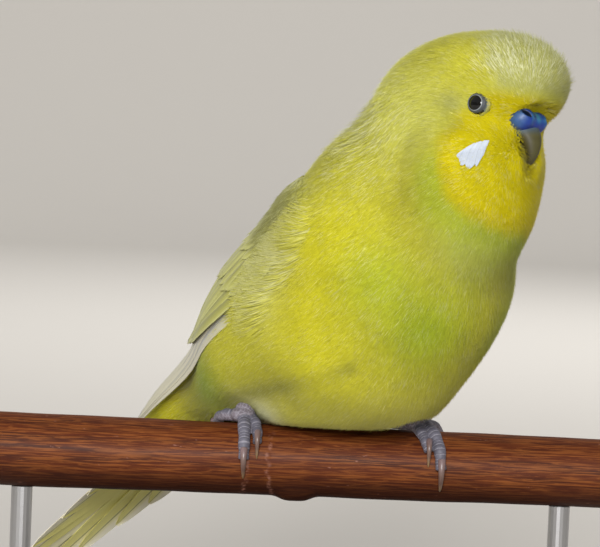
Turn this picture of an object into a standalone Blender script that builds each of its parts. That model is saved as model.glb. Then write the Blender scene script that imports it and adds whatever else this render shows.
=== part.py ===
"""Budgerigar on a perch, life size, as a still museum model on a plain stand. Metres, +Z up.

The bird is worked out in millimetres in a frame of its own: x forward, y to its left, z up,
with the origin on the perch's axis below its breast. The perch runs along world X.
"""

import math

import bmesh
import bpy
import numpy as np
from mathutils import Matrix, Vector

MM = 0.001
GAP = 0.3

# Perch and stand, in the world: the origin is the middle of the base's underside
PERCH_RADIUS = 8.8
PERCH_TAPER = 0.3
PERCH_RINGS = 15
PERCH_SIDES = 22
PERCH_LENGTH = 168.0
PERCH_HEIGHT = 66.0
# The knot's place along X and its turn round the branch in degrees, and how far it stands out
KNOT_AT = (1.0, 165.0)
KNOT_HEIGHT = 1.6
BASE_SIZE = (150.0, 118.0, 9.0)
BASE_CORNER = 26.0
BASE_AT_Y = 4.0
ROD_RADIUS = 2.6
ROD_OFFSETS = (-66.0, 66.0)

# Stance: where the bird stands along the perch and how it is turned
BIRD_ALONG_PERCH = 9.0
BIRD_YAW = -40.0

# Head frame: midway between the eyes, in the bird's frame
EYES_AT = (48.0, 0.0, 87.5)
HEAD_YAW = 0.0
HEAD_PITCH = 0.0
HEAD_ROLL = -8.0

# Plumage as soft masses: frame, centre, radii, pitch in degrees and how softly it joins the rest
MASSES = (
    ("bird", (-1.3, 0.0, 40.2), (44.5, 28.0, 21.8), 44.0, 0.0),
    ("bird", (14.0, 0.0, 33.0), (26.5, 26.0, 24.3), 40.0, 7.0),
    ("bird", (19.7, 0.0, 52.7), (23.4, 26.0, 29.4), 56.0, 8.0),
    ("bird", (-38.5, 0.0, 9.0), (31.5, 12.0, 9.5), 34.0, 8.0),
    ("bird", (19.1, 0.0, 68.4), (17.6, 20.0, 18.1), 50.0, 8.0),
    ("head", (-21.3, 0.0, -3.9), (13.0, 16.0, 15.4), 0.0, 7.0),
    ("head", (-10.0, 0.0, 3.5), (19.7, 14.6, 14.6), 0.0, 6.0),
    ("head", (-0.1, 0.0, 7.0), (14.1, 13.2, 10.7), 0.0, 4.0),
    ("head", (-6.2, 0.0, -9.9), (13.5, 15.5, 10.0), 0.0, 5.0),
    ("head", (-5.8, 0.0, -21.0), (14.4, 16.0, 16.5), 0.0, 5.0),
)
# Hollows pressed into the head: centre and radii in the head's frame, and how softly
HOLLOWS = (
    ((0.0, 15.2, 0.0), (4.6, 3.6, 4.4), 2.5),
    ((0.0, -15.2, 0.0), (4.6, 3.6, 4.4), 2.5),
    ((11.8, 0.0, -3.4), (5.2, 7.6, 4.2), 2.0),
    ((11.5, 0.0, -8.0), (4.5, 4.6, 5.0), 2.0),
)

# The line inside the body that its rings are strung on, in the bird's frame
SPINE = ((-40.0, 0.0, 8.0), (2.0, 0.0, 40.0), (20.0, 0.0, 60.0), (33.0, 0.0, 85.0))
RINGS_ALONG = 15
RINGS_ON_HEAD = 9
RINGS_ON_RUMP = 5
RING_POINTS = 26
LONGEST_RAY = 70.0

# Where the body is parted: a point and a direction in the bird's frame
TORSO_CUT = ((22.0, 0.0, 66.0), (0.42, 0.0, 0.91))
HEAD_CUT = ((22.0, 0.0, 76.0), (0.56, 0.0, 0.83))

# Eyes, cere and bill, in the head's frame
EYE_RADIUS = 3.1
EYE_ACROSS = 9.6
LID_RING = (2.75, 0.75)
CERE_LOBES = (
    ((6.4, 2.5, -2.1), (3.5, 3.3, 2.8)),
    ((6.4, -2.5, -2.1), (3.5, 3.3, 2.8)),
    ((6.4, 0.0, -2.4), (3.2, 2.6, 2.3)),
)
CERE_NAMES = ("lobe_0", "lobe_1", "lobe_2")
NOSTRIL = (8.8, 2.4, -0.6)
NOSTRIL_RADIUS = 0.55
BILL_ARC_CENTRE = (3.6, -7.6)
BILL_ARC_RADIUS = 5.5
BILL_SWEEP = (68.0, -46.0)

# Wings: what is added below the plumage for them to lie on, the line inside that surface that they
# wrap round, and their upper and lower edges as angles from the back
WING_BED = ("bird", (-31.0, 0.0, 18.0), (40.0, 13.5, 9.0), 38.0, 8.0)
WING_SPINE = ((15.0, 0.0, 63.0), (-5.0, 0.0, 42.0), (-30.0, 0.0, 18.0), (-58.0, 0.0, -2.5))
WING_DORSAL = ((0.0, 48.0), (0.2, 26.0), (0.45, 12.0), (0.75, 8.0), (1.0, 14.0))
WING_LOWER = ((0.0, 78.0), (0.15, 98.0), (0.45, 96.0), (0.75, 84.0), (1.0, 66.0))
SHELL_END = 0.6
SHELL_HEIGHT = 1.1
# Tiers of vanes, from the lowest vane of each to the topmost: how many, rows of points along one,
# half width, then at the root and at the tip: the two places along the wing, the two turns and
# the height
WING_TIERS = (
    (4, 4, 5.8, ((0.03, 0.03), (84.0, 46.0), 0.8), ((0.18, 0.17), (88.0, 38.0), 2.6)),
    (5, 4, 5.6, ((0.13, 0.13), (90.0, 32.0), 0.9), ((0.28, 0.32), (95.0, 28.0), 2.9)),
    (6, 4, 4.8, ((0.22, 0.24), (92.0, 26.0), 1.0), ((0.38, 0.50), (98.0, 24.0), 2.9)),
    (6, 5, 4.0, ((0.30, 0.34), (94.0, 24.0), 1.0), ((0.50, 0.72), (92.0, 22.0), 3.0)),
    (6, 7, 3.4, ((0.34, 0.38), (96.0, 70.0), 0.5), ((0.975, 0.80), (50.0, 24.0), 0.8)),
)
VANE_THICK = 0.6
VANE_TILT = 0.35
VANE_ARCH = 0.2
VANE_STEP = 0.3

# Tail
TAIL_ROOT = (-30.0, 0.0, 15.6)
TAIL_YAW = 0.0
TAIL_DROP = 38.0
TAIL_ROLL = 14.0
TAIL_LENGTHS = (104.0, 96.0, 82.0, 66.0, 53.0, 43.0)
TAIL_HALF_WIDTH = 3.5
TAIL_SPREAD = (1.5, 2.15)
TAIL_STEP = 0.5

# Feet: the joint on the perch, the hock above it, then each toe as (along, round) turning points on
# the perch, its half thickness and how far its claw reaches round
FEET = {
    "right": {"joint": (-12.4, -2.0), "hock": (-5.0, 5.0, 22.0), "toes": {
        "toe_right_3": (((-12.2, 6.0), (-11.8, 50.0), (-11.7, 84.0)), 1.4, 30.0),
        "toe_right_2": (((-10.6, 6.0), (-8.9, 35.0), (-8.6, 60.0)), 1.25, 22.0),
        "toe_right_4": (((-14.6, -10.0), (-19.5, -40.0), (-20.6, -84.0)), 1.4, 28.0),
        "toe_right_1": (((-10.8, -14.0), (-7.2, -42.0), (-6.6, -64.0)), 1.2, 22.0)}},
    "left": {"joint": (29.8, -2.0), "hock": (22.0, 6.0, 22.0), "toes": {
        "toe_left_3": (((31.4, 6.0), (35.0, 48.0), (36.0, 88.0)), 1.4, 36.0),
        "toe_left_2": (((29.6, 12.0), (31.6, 38.0), (32.9, 62.0)), 1.25, 22.0),
        "toe_left_4": (((31.8, -14.0), (35.8, -44.0), (37.0, -84.0)), 1.4, 28.0),
        "toe_left_1": (((26.6, -10.0), (22.4, -34.0), (20.8, -60.0)), 1.2, 22.0)}},
}

# Plain colours of the solids
LIME = (0.55, 0.56, 0.08)
PALE_WING = (0.55, 0.56, 0.25)
SLATE = (0.30, 0.30, 0.36)
CERE_BLUE = (0.03, 0.16, 0.62)
HORN = (0.42, 0.38, 0.16)
EYE_BLACK = (0.01, 0.01, 0.012)
CLAW = (0.30, 0.24, 0.22)
WOOD = (0.16, 0.04, 0.015)
STAND_BLACK = (0.03, 0.03, 0.035)
STEEL = (0.55, 0.55, 0.56)

# Swollen copies of plain forms, by name, kept while the part is made to cut their pockets
POCKETS = {}


def bird_matrix():
    """Bird's frame in millimetres to the world in millimetres."""
    place = Matrix.Translation((BIRD_ALONG_PERCH, 0.0, PERCH_HEIGHT))
    return place @ Matrix.Rotation(math.radians(BIRD_YAW), 4, "Z")


def head_matrix():
    """Head's frame to the bird's frame, in millimetres."""
    turn = Matrix.Rotation(math.radians(HEAD_YAW), 4, "Z")
    nod = Matrix.Rotation(math.radians(HEAD_PITCH), 4, "Y")
    tilt = Matrix.Rotation(math.radians(HEAD_ROLL), 4, "X")
    return Matrix.Translation(EYES_AT) @ turn @ nod @ tilt


def moved(points, matrix):
    """Points taken through a matrix."""
    m = np.array(matrix, float)
    return np.asarray(points, float) @ m[:3, :3].T + m[:3, 3]


def ellipsoid_distance(points, centre, radii, pitch=0.0):
    """Rough signed distance to an ellipsoid whose long axis is pitched up by some degrees."""
    a = math.radians(pitch)
    q = points - np.array(centre)
    along = q[..., 0] * math.cos(a) + q[..., 2] * math.sin(a)
    up = -q[..., 0] * math.sin(a) + q[..., 2] * math.cos(a)
    q = np.stack([along, q[..., 1], up], axis=-1)
    r = np.array(radii)
    far = np.linalg.norm(q / r, axis=-1)
    steep = np.linalg.norm(q / r**2, axis=-1)
    return far * (far - 1.0) / np.maximum(steep, 1e-9)


def soft_union(a, b, softness):
    """Smooth lesser of two distances, blended over some millimetres."""
    share = np.clip(0.5 + 0.5 * (b - a) / softness, 0.0, 1.0)
    return b + (a - b) * share - softness * share * (1.0 - share)


def union_of(masses, points):
    """Distance to the blended masses, and the points in the head's frame."""
    on_head = moved(points, head_matrix().inverted())
    total = None
    for frame, centre, radii, pitch, softness in masses:
        d = ellipsoid_distance(on_head if frame == "head" else points, centre, radii, pitch)
        total = d if total is None else soft_union(total, d, softness)
    return total, on_head


def body_distance(points):
    """Signed distance to the plumage, in the bird's frame."""
    total, on_head = union_of(MASSES, points)
    for centre, radii, softness in HOLLOWS:
        total = -soft_union(-total, ellipsoid_distance(on_head, centre, radii), softness)
    return total


def wing_bed_distance(points):
    """Signed distance to what the folded wings lie on."""
    return union_of((*MASSES, WING_BED), points)[0]


def smooth_line(points, where):
    """Catmull-Rom line through the points, and its unit directions, at values from 0 to 1."""
    p = np.array(points, float)
    p = np.vstack([2 * p[0] - p[1], p, 2 * p[-1] - p[-2]])
    spans = len(p) - 3
    t = np.clip(np.asarray(where, float), 0.0, 1.0) * spans
    i = np.minimum(t.astype(int), spans - 1)
    f = (t - i)[..., None]
    a, b, c, d = p[i], p[i + 1], p[i + 2], p[i + 3]
    bend = 2 * a - 5 * b + 4 * c - d
    twist = 3 * b - a - 3 * c + d
    at = 0.5 * (2 * b + (c - a) * f + bend * f**2 + twist * f**3)
    along = 0.5 * ((c - a) + 2 * bend * f + 3 * twist * f**2)
    return at, along / np.linalg.norm(along, axis=-1)[..., None]


def eased(table, where):
    """Value of a (position, value) table, joined by smooth steps."""
    x, y = np.array(table).T
    where = np.asarray(where, float)
    i = np.clip(np.searchsorted(x, where) - 1, 0, len(x) - 2)
    f = np.clip((where - x[i]) / (x[i + 1] - x[i]), 0.0, 1.0)
    return y[i] + (y[i + 1] - y[i]) * f * f * (3.0 - 2.0 * f)


def cast(distance, starts, ways, level):
    """Point along each ray where the distance reaches the level, by halving."""
    low = np.zeros(starts.shape[:-1])
    high = np.full(starts.shape[:-1], LONGEST_RAY)
    for _ in range(26):
        mid = 0.5 * (low + high)
        inside = distance(starts + ways * mid[..., None]) < level
        low = np.where(inside, mid, low)
        high = np.where(inside, high, mid)
    return starts + ways * low[..., None]


def body_points(level=0.0):
    """Rings of points on the plumage from the rump's pole to the head's, and the two poles."""
    at, along = smooth_line(SPINE, np.linspace(0, 1, RINGS_ALONG))
    rump = 0.5 * math.pi * (1.0 - (np.arange(RINGS_ON_RUMP) + 0.35) / RINGS_ON_RUMP)
    head = 0.5 * math.pi * (np.arange(RINGS_ON_HEAD - 1, -1, -1) + 0.35) / RINGS_ON_HEAD
    spreads = np.concatenate([0.5 * math.pi + rump, np.full(RINGS_ALONG, 0.5 * math.pi), head])
    on_head = np.full(RINGS_ON_HEAD, RINGS_ALONG - 1)
    pick = np.concatenate([np.zeros(RINGS_ON_RUMP, int), np.arange(RINGS_ALONG), on_head])
    starts, axes = at[pick], along[pick]
    left = np.array([0.0, 1.0, 0.0])
    turn = np.linspace(0, 2 * math.pi, RING_POINTS, endpoint=False)
    up = np.cross(axes, left)
    across = np.cos(turn)[None, :, None] * up[:, None, :] + np.sin(turn)[None, :, None] * left
    ways = np.cos(spreads)[:, None, None] * axes[:, None, :] + np.sin(spreads)[:, None, None] * across
    rings = cast(body_distance, np.repeat(starts[:, None, :], RING_POINTS, 1), ways, level)
    poles = cast(body_distance, starts[[0, -1]], axes[[0, -1]] * np.array([[-1.0], [1.0]]), level)
    return rings, poles


def mesh_of(name, points, faces, matrix=Matrix.Identity(4)):
    """Mesh object from points in millimetres in some frame, with its faces turned outwards."""
    world = moved(points, matrix) * MM
    mesh = bpy.data.meshes.new(name)
    mesh.from_pydata([tuple(p) for p in world], [], faces)
    bm = bmesh.new()
    bm.from_mesh(mesh)
    bmesh.ops.recalc_face_normals(bm, faces=bm.faces)
    bm.to_mesh(mesh)
    bm.free()
    obj = bpy.data.objects.new(name, mesh)
    bpy.context.scene.collection.objects.link(obj)
    return obj


def ring_mesh(name, rings, poles, matrix=Matrix.Identity(4)):
    """Closed surface from rings of points between two poles."""
    count, around = rings.shape[:2]
    points = np.vstack([rings.reshape(-1, 3), poles])
    faces = []
    for j in range(around):
        k = (j + 1) % around
        for a in range(0, (count - 1) * around, around):
            faces.append((a + j, a + k, a + around + k, a + around + j))
        faces.append((len(points) - 2, k, j))
        faces.append((len(points) - 1, (count - 1) * around + j, (count - 1) * around + k))
    return mesh_of(name, points, faces, matrix)


def tube(name, centres, radii, sides, matrix=Matrix.Identity(4), flat=1.0):
    """Round-ended tapering tube along a line of points. flat squeezes it along its second normal."""
    c = np.array(centres, float)
    along = np.gradient(c, axis=0)
    along /= np.linalg.norm(along, axis=1)[:, None]
    steep = abs(along[:, 2]).max() >= 0.9
    guide = np.array([1.0, 0.0, 0.0]) if steep else np.array([0.0, 0.0, 1.0])
    side = np.cross(along, guide)
    side /= np.linalg.norm(side, axis=1)[:, None]
    up = np.cross(side, along)
    turn = np.linspace(0, 2 * math.pi, sides, endpoint=False)
    r = np.array(radii, float)[:, None, None]
    across = np.cos(turn)[None, :, None] * side[:, None, :]
    across = across + flat * np.sin(turn)[None, :, None] * up[:, None, :]
    rings = c[:, None, :] + r * across
    poles = [c[0] - along[0] * radii[0] * 0.5, c[-1] + along[-1] * radii[-1] * 0.5]
    return ring_mesh(name, rings, poles, matrix)


def ball(name, centre, radii, matrix=Matrix.Identity(4), sides=20, rings=12):
    """Ellipsoid of latitude rings."""
    lat = math.pi * np.arange(1, rings) / rings
    turn = np.linspace(0, 2 * math.pi, sides, endpoint=False)
    out = np.sin(lat)[:, None]
    high = np.repeat(np.cos(lat)[:, None], sides, 1)
    unit = np.stack([out * np.cos(turn), out * np.sin(turn), high], -1)
    c, r = np.array(centre), np.array(radii)
    return ring_mesh(name, c + unit * r, [c + (0, 0, r[2]), c - (0, 0, r[2])], matrix)


def boolean(obj, others, operation, solver="EXACT"):
    """Applies one Boolean between an object and a few others, which are then removed."""
    group = bpy.data.collections.new("operands")
    for other in others:
        group.objects.link(other)
    modifier = obj.modifiers.new("join", "BOOLEAN")
    modifier.operation = operation
    modifier.operand_type = "COLLECTION"
    modifier.collection = group
    modifier.solver = solver
    apply_modifiers(obj)
    for other in others:
        bpy.data.objects.remove(other)
    bpy.data.collections.remove(group)


def apply_modifiers(obj):
    """Makes what the modifiers show the object's own mesh."""
    bpy.context.view_layer.update()
    graph = bpy.context.evaluated_depsgraph_get()
    mesh = bpy.data.meshes.new_from_object(obj.evaluated_get(graph))
    obj.modifiers.clear()
    obj.data = mesh


def keep_largest(obj):
    """Drops every closed surface of the mesh but its largest, and turns the faces outwards."""
    bm = bmesh.new()
    bm.from_mesh(obj.data)
    bmesh.ops.remove_doubles(bm, verts=bm.verts, dist=2e-6)
    todo, groups = set(bm.faces), []
    while todo:
        queue, group = [todo.pop()], []
        while queue:
            face = queue.pop()
            group.append(face)
            for edge in face.edges:
                for near in edge.link_faces:
                    if near in todo:
                        todo.remove(near)
                        queue.append(near)
        groups.append(group)
    groups.sort(key=lambda g: sum(f.calc_area() for f in g))
    loose = [f for g in groups[:-1] for f in g]
    bmesh.ops.delete(bm, geom=loose, context="FACES")
    bmesh.ops.recalc_face_normals(bm, faces=bm.faces)
    bm.to_mesh(obj.data)
    bm.free()


def copy_of(obj, name):
    """Copy of an object with a mesh of its own."""
    twin = bpy.data.objects.new(name, obj.data.copy())
    bpy.context.scene.collection.objects.link(twin)
    return twin


def keep_pocket(obj, by=GAP):
    """Keeps a copy of a plain form, swollen along its normals, to cut its pocket in neighbours."""
    twin = copy_of(obj, obj.name + "_pocket")
    normals = [v.normal.copy() for v in twin.data.vertices]
    for v, n in zip(twin.data.vertices, normals):
        v.co += n * by * MM
    POCKETS[obj.name] = twin
    return obj


def cut(obj, names):
    """Takes the kept pockets of other pieces out of a piece."""
    boolean(obj, [copy_of(POCKETS[name], "cutter") for name in names], "DIFFERENCE")
    keep_largest(obj)


def sliced(obj, name, planes):
    """Copy of a body kept behind each plane, a point and a direction in the bird's frame."""
    twin = copy_of(obj, name)
    bm = bmesh.new()
    bm.from_mesh(twin.data)
    world = bird_matrix()
    for point, way in planes:
        co = world @ Vector(point) * MM
        no = (world.to_3x3() @ Vector(way)).normalized()
        geom = [*bm.verts, *bm.edges, *bm.faces]
        cut = bmesh.ops.bisect_plane(bm, geom=geom, plane_co=co, plane_no=no, clear_outer=True)
        rim = [e for e in cut["geom_cut"] if isinstance(e, bmesh.types.BMEdge)]
        bmesh.ops.contextual_create(bm, geom=rim)
    bmesh.ops.triangulate(bm, faces=[f for f in bm.faces if len(f.verts) > 4])
    bmesh.ops.recalc_face_normals(bm, faces=bm.faces)
    bm.to_mesh(twin.data)
    bm.free()
    return twin


def shifted(plane, by, flip=False):
    """Plane moved along its own direction, and turned about if asked."""
    point, way = Vector(plane[0]), Vector(plane[1]).normalized()
    return tuple(point + way * by), tuple(-way if flip else way)


def finish(obj, colour, roughness=0.6, metallic=0.0, angle=40.0):
    """Gives a node its material and its shading."""
    made = bpy.data.materials.new(obj.name)
    made.use_nodes = True
    shader = made.node_tree.nodes["Principled BSDF"]
    shader.inputs["Base Color"].default_value = (*colour, 1.0)
    shader.inputs["Roughness"].default_value = roughness
    shader.inputs["Metallic"].default_value = metallic
    obj.data.materials.clear()
    obj.data.materials.append(made)
    obj.data.shade_smooth()
    obj.data.set_sharp_from_angle(angle=math.radians(angle))
    return obj


def perch_radius(x):
    """The branch is a little thinner towards +X."""
    return PERCH_RADIUS - PERCH_TAPER * x / (0.5 * PERCH_LENGTH)


def make_perch():
    """Natural branch along X, slightly tapered and uneven, with a knot under the bird."""
    where = np.linspace(-0.5, 0.5, PERCH_RINGS) * PERCH_LENGTH
    turn = np.linspace(0, 2 * math.pi, PERCH_SIDES, endpoint=False)
    x = np.repeat(where[:, None], PERCH_SIDES, 1)
    radius = perch_radius(x) - 0.12
    radius = radius + 0.06 * np.sin(x / 13.0 + 2 * turn)
    radius = radius + 0.06 * np.sin(x / 7.0 - 3 * turn)
    knot = np.exp(-((x - KNOT_AT[0]) / 4.5) ** 2)
    knot = knot * np.clip(np.cos(turn - math.radians(KNOT_AT[1])), 0, 1) ** 8
    radius = radius + KNOT_HEIGHT * knot
    rings = np.stack([x, -radius * np.sin(turn), PERCH_HEIGHT + radius * np.cos(turn)], -1)
    ends = np.array([[where[0], 0, PERCH_HEIGHT], [where[-1], 0, PERCH_HEIGHT]])
    return ring_mesh("perch", rings, ends)



def make_eye(side):
    """Ball of one eye."""
    name = "eye_left" if side > 0 else "eye_right"
    frame = bird_matrix() @ head_matrix()
    return keep_pocket(ball(name, (0.0, side * EYE_ACROSS, 0.0), (EYE_RADIUS,) * 3, frame, 14, 8))


def lid_ring(side):
    """Bare ring of skin round the eye, standing on the head's surface."""
    turn = np.linspace(0, 2 * math.pi, 18, endpoint=False)
    small = np.linspace(0, 2 * math.pi, 6, endpoint=False)
    big, thin = LID_RING
    r = big + thin * np.cos(small)[None, :]
    y = np.repeat(side * (EYE_ACROSS + 1.6 + thin * np.sin(small))[None, :], 18, 0)
    rings = np.stack([r * np.cos(turn)[:, None], y, r * np.sin(turn)[:, None]], -1)
    faces = []
    for i in range(18):
        here, ahead = i * 6, ((i + 1) % 18) * 6
        faces += [(here + j, ahead + j, ahead + (j + 1) % 6, here + (j + 1) % 6) for j in range(6)]
    return mesh_of("lid", rings.reshape(-1, 3), faces, bird_matrix() @ head_matrix())


def make_cere():
    """Bare swelling over the bill, with its two nostrils."""
    frame = bird_matrix() @ head_matrix()
    lobes = [keep_pocket(ball(name, *lobe, frame, 12, 8)) for name, lobe in zip(CERE_NAMES, CERE_LOBES)]
    cere = lobes.pop(0)
    cere.name = "cere"
    boolean(cere, lobes, "UNION")
    x, y, z = NOSTRIL
    pits = []
    for side in (-1, 1):
        line = [(x - 1.6, side * y, z - 0.6), (x + 1.5, side * y * 1.05, z + 0.6)]
        pits.append(tube("pit", line, [NOSTRIL_RADIUS] * 2, 8, frame))
    boolean(cere, pits, "DIFFERENCE")
    keep_largest(cere)
    return cere


def make_bill():
    """Upper mandible, a hook of shrinking sections swept round an arc, and the lower one behind it."""
    frame = bird_matrix() @ head_matrix()
    share = np.linspace(0, 1, 8)
    angle = np.radians(BILL_SWEEP[0] + (BILL_SWEEP[1] - BILL_SWEEP[0]) * share)
    turn = np.linspace(0, 2 * math.pi, 12, endpoint=False)
    half_width = 3.4 * (1 - share**1.8) + 0.35
    depth = 2.6 * (1 - share**2.2) + 0.4
    radial = np.stack([np.cos(angle), np.zeros(8), np.sin(angle)], -1)
    centre = np.array([BILL_ARC_CENTRE[0], 0.0, BILL_ARC_CENTRE[1]])
    middle = centre + radial * (BILL_ARC_RADIUS - depth + 1.2)[:, None]
    rings = middle[:, None, :] + np.cos(turn)[None, :, None] * (depth[:, None, None] * radial[:, None, :])
    rings = rings + np.sin(turn)[None, :, None] * half_width[:, None, None] * np.array([0.0, 1.0, 0.0])
    tip = middle[-1] + np.array([-0.6, 0, -0.7])
    upper = keep_pocket(ring_mesh("beak_upper", rings, [middle[0], tip], frame))
    lower = keep_pocket(ball("beak_lower", (3.4, 0.0, -8.8), (2.6, 2.6, 2.2), frame, 10, 7))
    cut(upper, CERE_NAMES)
    cut(lower, ["beak_upper"])
    return upper, lower


def wing_point(where, turn, height, side):
    """Point over the wing's bed: where runs from shoulder to tip, turn is degrees off the back."""
    at, along = smooth_line(WING_SPINE, where)
    left = np.array([0.0, 1.0, 0.0])
    up = np.cross(left, along)
    up /= np.linalg.norm(up, axis=-1)[..., None]
    a = np.radians(turn)[..., None]
    way = np.cos(a) * up + np.sin(a) * side * left
    base = cast(wing_bed_distance, at, way, 0.0)
    return base + way * np.asarray(height)[..., None]


def plate(name, top, under, matrix):
    """Closed plate between two equal grids of points, both faces split the same way."""
    rows, cols = top.shape[:2]
    n = rows * cols
    points = np.vstack([top.reshape(-1, 3), under.reshape(-1, 3)])
    faces = []
    for i in range(rows - 1):
        for j in range(cols - 1):
            a, b, c, d = i * cols + j, i * cols + j + 1, (i + 1) * cols + j + 1, (i + 1) * cols + j
            faces += [(a, b, c), (a, c, d), (n + a, n + c, n + b), (n + a, n + d, n + c)]
    rim = [*range(cols), *(i * cols + cols - 1 for i in range(1, rows))]
    rim += [(rows - 1) * cols + j for j in range(cols - 2, -1, -1)]
    rim += [i * cols for i in range(rows - 2, 0, -1)]
    for k, a in enumerate(rim):
        b = rim[(k + 1) % len(rim)]
        faces += [(a, n + a, n + b), (a, n + b, b)]
    return mesh_of(name, points, faces, matrix)


def vane_width(share, point):
    """Outline of a feather: half width at shares of its length, with a blunt or pointed tip."""
    rise = 0.62 + 0.38 * np.sin(np.clip(share / 0.5, 0, 1) * math.pi / 2)
    fall = np.sqrt(np.clip(1 - (np.clip(share - point, 0, 1) / (1.0 - point)) ** 2.2, 0.0, 1.0))
    return rise * np.maximum(fall, 0.22)


def wing_vane(name, side, tier, k):
    """One feather of a wing tier, a thin plate that follows the carrier and rises to its tip."""
    count, rows, half, root, tip = tier
    up = k / (count - 1)
    share = np.linspace(0, 1, rows) ** 0.85
    ends = [[span[0] + (span[1] - span[0]) * up for span in end[:2]] for end in (root, tip)]
    where = ends[0][0] + (ends[1][0] - ends[0][0]) * share
    turn = ends[0][1] + (ends[1][1] - ends[0][1]) * share
    at = smooth_line(WING_SPINE, where)[0]
    reach = np.linalg.norm(wing_point(where, turn, np.zeros(rows), side) - at, axis=1)
    across = np.array([-1.0, 0.0, 1.0])
    wide = half * vane_width(share, 0.6 if half > 3.5 else 0.45)
    turn = turn[:, None] + np.degrees(wide / reach)[:, None] * across
    turn = np.maximum(turn, np.degrees(1.0 / reach)[:, None])
    where = np.repeat(where[:, None], 3, 1)
    high = root[2] + (tip[2] - root[2]) * share + VANE_STEP * k * (1.2 if tip[2] < 1.5 else 0.25)
    high = high[:, None] + VANE_TILT * across + VANE_ARCH * (1 - across**2)
    low = np.where(where < SHELL_END - 0.06, np.minimum(0.3, high - 0.25), high - VANE_THICK)
    top = wing_point(where, turn, high, side)
    under = wing_point(where, turn, low, side)
    return plate(name, top, under, bird_matrix())


def make_wing(side):
    """Folded wing: a thin shell over the shoulder that carries tiers of overlapping feathers."""
    rows, cols = 8, 6
    where = np.repeat(np.linspace(0, SHELL_END, rows)[:, None], cols, 1)
    share = np.repeat(np.linspace(0, 1, cols)[None, :], rows, 0)
    turn = eased(WING_DORSAL, where) + (eased(WING_LOWER, where) - eased(WING_DORSAL, where)) * share
    crown = GAP + SHELL_HEIGHT * (1 - (2 * share - 1) ** 4)
    wing = plate("wing_left" if side > 0 else "wing_right", wing_point(where, turn, crown, side),
                 wing_point(where, turn, -0.9 * np.ones_like(where), side), bird_matrix())
    vanes = [wing_vane("vane", side, tier, k) for tier in WING_TIERS for k in range(tier[0])]
    boolean(wing, vanes, "UNION")
    keep_largest(wing)
    cut(wing, ["body"])
    return wing


def tail_matrix():
    """Tail's frame to the bird's: x back along the tail, y to the bird's left, z up off its top side."""
    place = Matrix.Translation(TAIL_ROOT) @ Matrix.Rotation(math.radians(TAIL_YAW), 4, "Z")
    drop = Matrix.Rotation(math.radians(-TAIL_DROP), 4, "Y")
    roll = Matrix.Rotation(math.radians(-TAIL_ROLL), 4, "X")
    return place @ drop @ roll @ Matrix.Scale(-1, 4, (1, 0, 0))


def tail_vane(name, side, k):
    """One tail feather: the middle pair is the longest and lies on top."""
    rows = 7 if k < 2 else 5
    share = np.linspace(0, 1, rows) ** 0.9
    along = share * TAIL_LENGTHS[k]
    across = np.array([-1.0, 0.0, 1.0])
    middle = side * (TAIL_SPREAD[0] + TAIL_SPREAD[1] * k) * (0.5 + 0.5 * along / 50.0)
    wide = TAIL_HALF_WIDTH * vane_width(share, 0.5)
    y = middle[:, None] + wide[:, None] * across
    drop = -TAIL_STEP * k - (0.25 if side < 0 else 0.0)
    z = drop - 0.012 * k * y * side + 0.25 * (1 - across**2)
    x = np.repeat(along[:, None], 3, 1)
    top = np.stack([x, y, z], -1)
    under = np.stack([x, y, z - VANE_THICK - 0.6 * (1 - share[:, None])], -1)
    return plate(name, top, under, bird_matrix() @ tail_matrix())


def make_tail():
    """Folded tail of overlapping feathers, the middle pair on top."""
    vanes = [tail_vane("tail", side, k) for k in range(len(TAIL_LENGTHS)) for side in (1, -1)]
    tail = vanes.pop(0)
    tail.name = "tail"
    boolean(tail, vanes, "UNION")
    keep_largest(tail)
    return tail


def round_perch(along, turn, lift):
    """Point over the perch: along X, turned towards the front from its top, lifted off its surface."""
    a = np.radians(turn)
    r = perch_radius(np.asarray(along)) + lift
    return np.stack([along, -r * np.sin(a), PERCH_HEIGHT + r * np.cos(a)], -1)


def make_toe(name, path, radius, reach):
    """Toe that wraps the perch, and its claw hooking on from the tip."""
    along, turn = smooth_line([(x, a, 0.0) for x, a in path], np.linspace(0, 1, 8))[0][:, :2].T
    share = np.linspace(0, 1, 8)
    thick = radius * (1.12 - 0.3 * share + 0.1 * np.cos(share * 4 * math.pi))
    toe = keep_pocket(tube(name, round_perch(along, turn, GAP + 0.1 + thick), thick, 8))
    sign = 1.0 if turn[-1] > turn[0] else -1.0
    share = np.linspace(0, 1, 6)
    claw_turn = turn[-1] + sign * (2.0 + reach * share)
    lift = GAP + 0.35 + (radius * 1.25 + 0.9 * np.sin(share * math.pi * 0.9)) * (1 - share**2.2)
    claw_thick = 0.62 * radius * (1 - share) ** 0.8 + 0.16
    claw_line = round_perch(np.full(6, along[-1]), claw_turn, lift)
    claw = keep_pocket(tube(name.replace("toe", "claw"), claw_line, claw_thick, 6))
    cut(claw, [name])
    return toe, claw


def make_foot(side):
    """Tarsus and the joint the toes spring from, then the toes."""
    foot = FEET[side]
    x, y = foot["joint"]
    r = perch_radius(x)
    joint = np.array([x, y, PERCH_HEIGHT + math.sqrt(r * r - y * y) + 2.2])
    hock = np.array(foot["hock"]) + np.array([0, 0, PERCH_HEIGHT])
    share = np.linspace(0, 1, 7)
    line = joint + (hock - joint) * share[:, None]
    leg = keep_pocket(tube(f"leg_{side}", line, 1.75 + 0.25 * np.cos(share * 6.0), 10))
    pad_at = joint + np.array([0.0, 0.2, -0.2])
    pad = keep_pocket(ball(f"pad_{side}", pad_at, (2.6, 2.5, 1.75), sides=10, rings=7))
    boolean(leg, [pad], "UNION")
    keep_largest(leg)
    made = [leg]
    before = [f"leg_{side}", f"pad_{side}"]
    for name, (path, radius, reach) in foot["toes"].items():
        toe, claw = make_toe(name, path, radius, reach)
        cut(toe, before)
        before.append(name)
        made += [toe, claw]
    return made


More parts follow.
